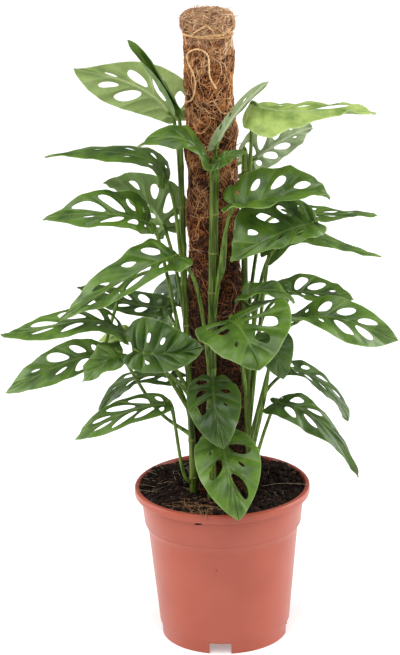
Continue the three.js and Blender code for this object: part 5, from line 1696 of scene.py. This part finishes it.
        "holes": ((0.6, 0.9, 0.9, 0.5), (0.6, 0.8, 0.8, 0.4)),
    },
    "leaf_37": {
        "stem": "back", "at": 150,
        "rib": [(4, 38, 178), (2, 60, 184), (0, 80, 174), (-2, 96, 152)],
        "half": (18, 18), "face": (0, 0.5, 1), "fold": (10, 10),
        "holes": ((0.7, 0.8, 0.9, 0.5), (0.6, 0.9, 0.8, 0.5)),
    },
}
leaf_faces = 0
for name, entry in LEAVES.items():
    piece = make_leaf(name, {**BLADE_DEFAULTS, **entry})
    leaf_faces += len(piece.data.polygons)
print("leaves:", len(LEAVES), "faces:", leaf_faces)


# %% The leaf that is still rolled up
def rolled_leaf():
    """A slim spindle that stands up beside the front stem."""
    line = route([stem_point("front", 256), (2, -24.5, 268), (4, -25.5, 284), (6.5, -25, 304)], 60)
    share = np.linspace(0, 1, 61)
    radii = 0.8 + 1.6 * np.sin(np.pi * share**0.8) * (1 - share) ** 0.4
    points, faces, pairs = tube(line, radii, 16)
    # One edge of the roll shows as a low ridge that winds up it.
    ridge = np.cos(2 * np.pi * (pairs[:, 0] - pairs[:, 1] * 1.5)) ** 8 * 0.25
    centre = np.repeat(line, 16, axis=0)
    points = points + (points - centre) * ridge[:, None]
    return points, faces, pairs


points, faces, pairs = rolled_leaf()
spear = build("monstera_rolled_leaf", points, faces, [stalk_skin], uvs={"round": pairs})
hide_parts("rolled_leaf")
print("rolled leaf faces:", len(spear.data.polygons))

# %% [markdown]
# ## Floor and light
#
# The plant stands on a plain pale floor in soft light: a pale world, one broad soft light from above
# and in front, and a large panel at each side, which puts the pale edges on the pot.


# %% Floor, world and lamps
WHITE = (1.0, 1.0, 1.0, 1.0)
FLOOR_REACH = 6000.0
MIDDLE = (0, 0, 0.22)  # the point, in metres, that the panels face


def floor():
    material, tree, shader = new_material("pale_floor")
    lit = {"Emission Color": WHITE, "Emission Strength": 0.3}
    connect(tree, shader, {"Base Color": (0.82, 0.82, 0.82, 1.0), "Roughness": 0.9, **lit})
    corners = [(-1, -1, 0), (1, -1, 0), (1, 1, 0), (-1, 1, 0)]
    mesh = bpy.data.meshes.new("floor")
    mesh.from_pydata((np.array(corners) * FLOOR_REACH * MM).tolist(), [], [[0, 1, 2, 3]])
    mesh.materials.append(material)
    add("floor", mesh)


def face_along(lamp, direction):
    """Turn a lamp so that it shines this way."""
    lamp.rotation_euler = Vector(direction).to_track_quat("-Z", "Y").to_euler()


def panel(name, place, size, power):
    """A large soft lamp that faces the plant."""
    data = bpy.data.lights.new(name, "AREA")
    data.shape = "RECTANGLE"
    data.size, data.size_y = size
    data.energy = power
    lamp = add(name, data)
    lamp.location = place
    face_along(lamp, Vector(MIDDLE) - Vector(place))


def world(strength):
    made = bpy.data.worlds.new("studio")
    bpy.context.scene.world = made
    made.use_nodes = True
    background = made.node_tree.nodes["Background"]
    connect(made.node_tree, background, {"Color": WHITE, "Strength": strength})


floor()
world(0.3)
sun = bpy.data.lights.new("skylight", "SUN")
sun.energy = 2.45
sun.angle = math.radians(60)  # as broad as a bright ceiling, so that shadows stay soft
face_along(add("skylight", sun), (0.12, 0.55, -1.0))
panel("panel_left", (-1.5, 0.1, 0.6), (0.9, 1.5), 20)
panel("panel_right", (1.5, 0.2, 0.6), (0.9, 1.5), 28)
bpy.context.scene.view_settings.view_transform = "Standard"
bpy.context.scene.view_settings.look = "None"
print("lamps:", len(bpy.data.lights))
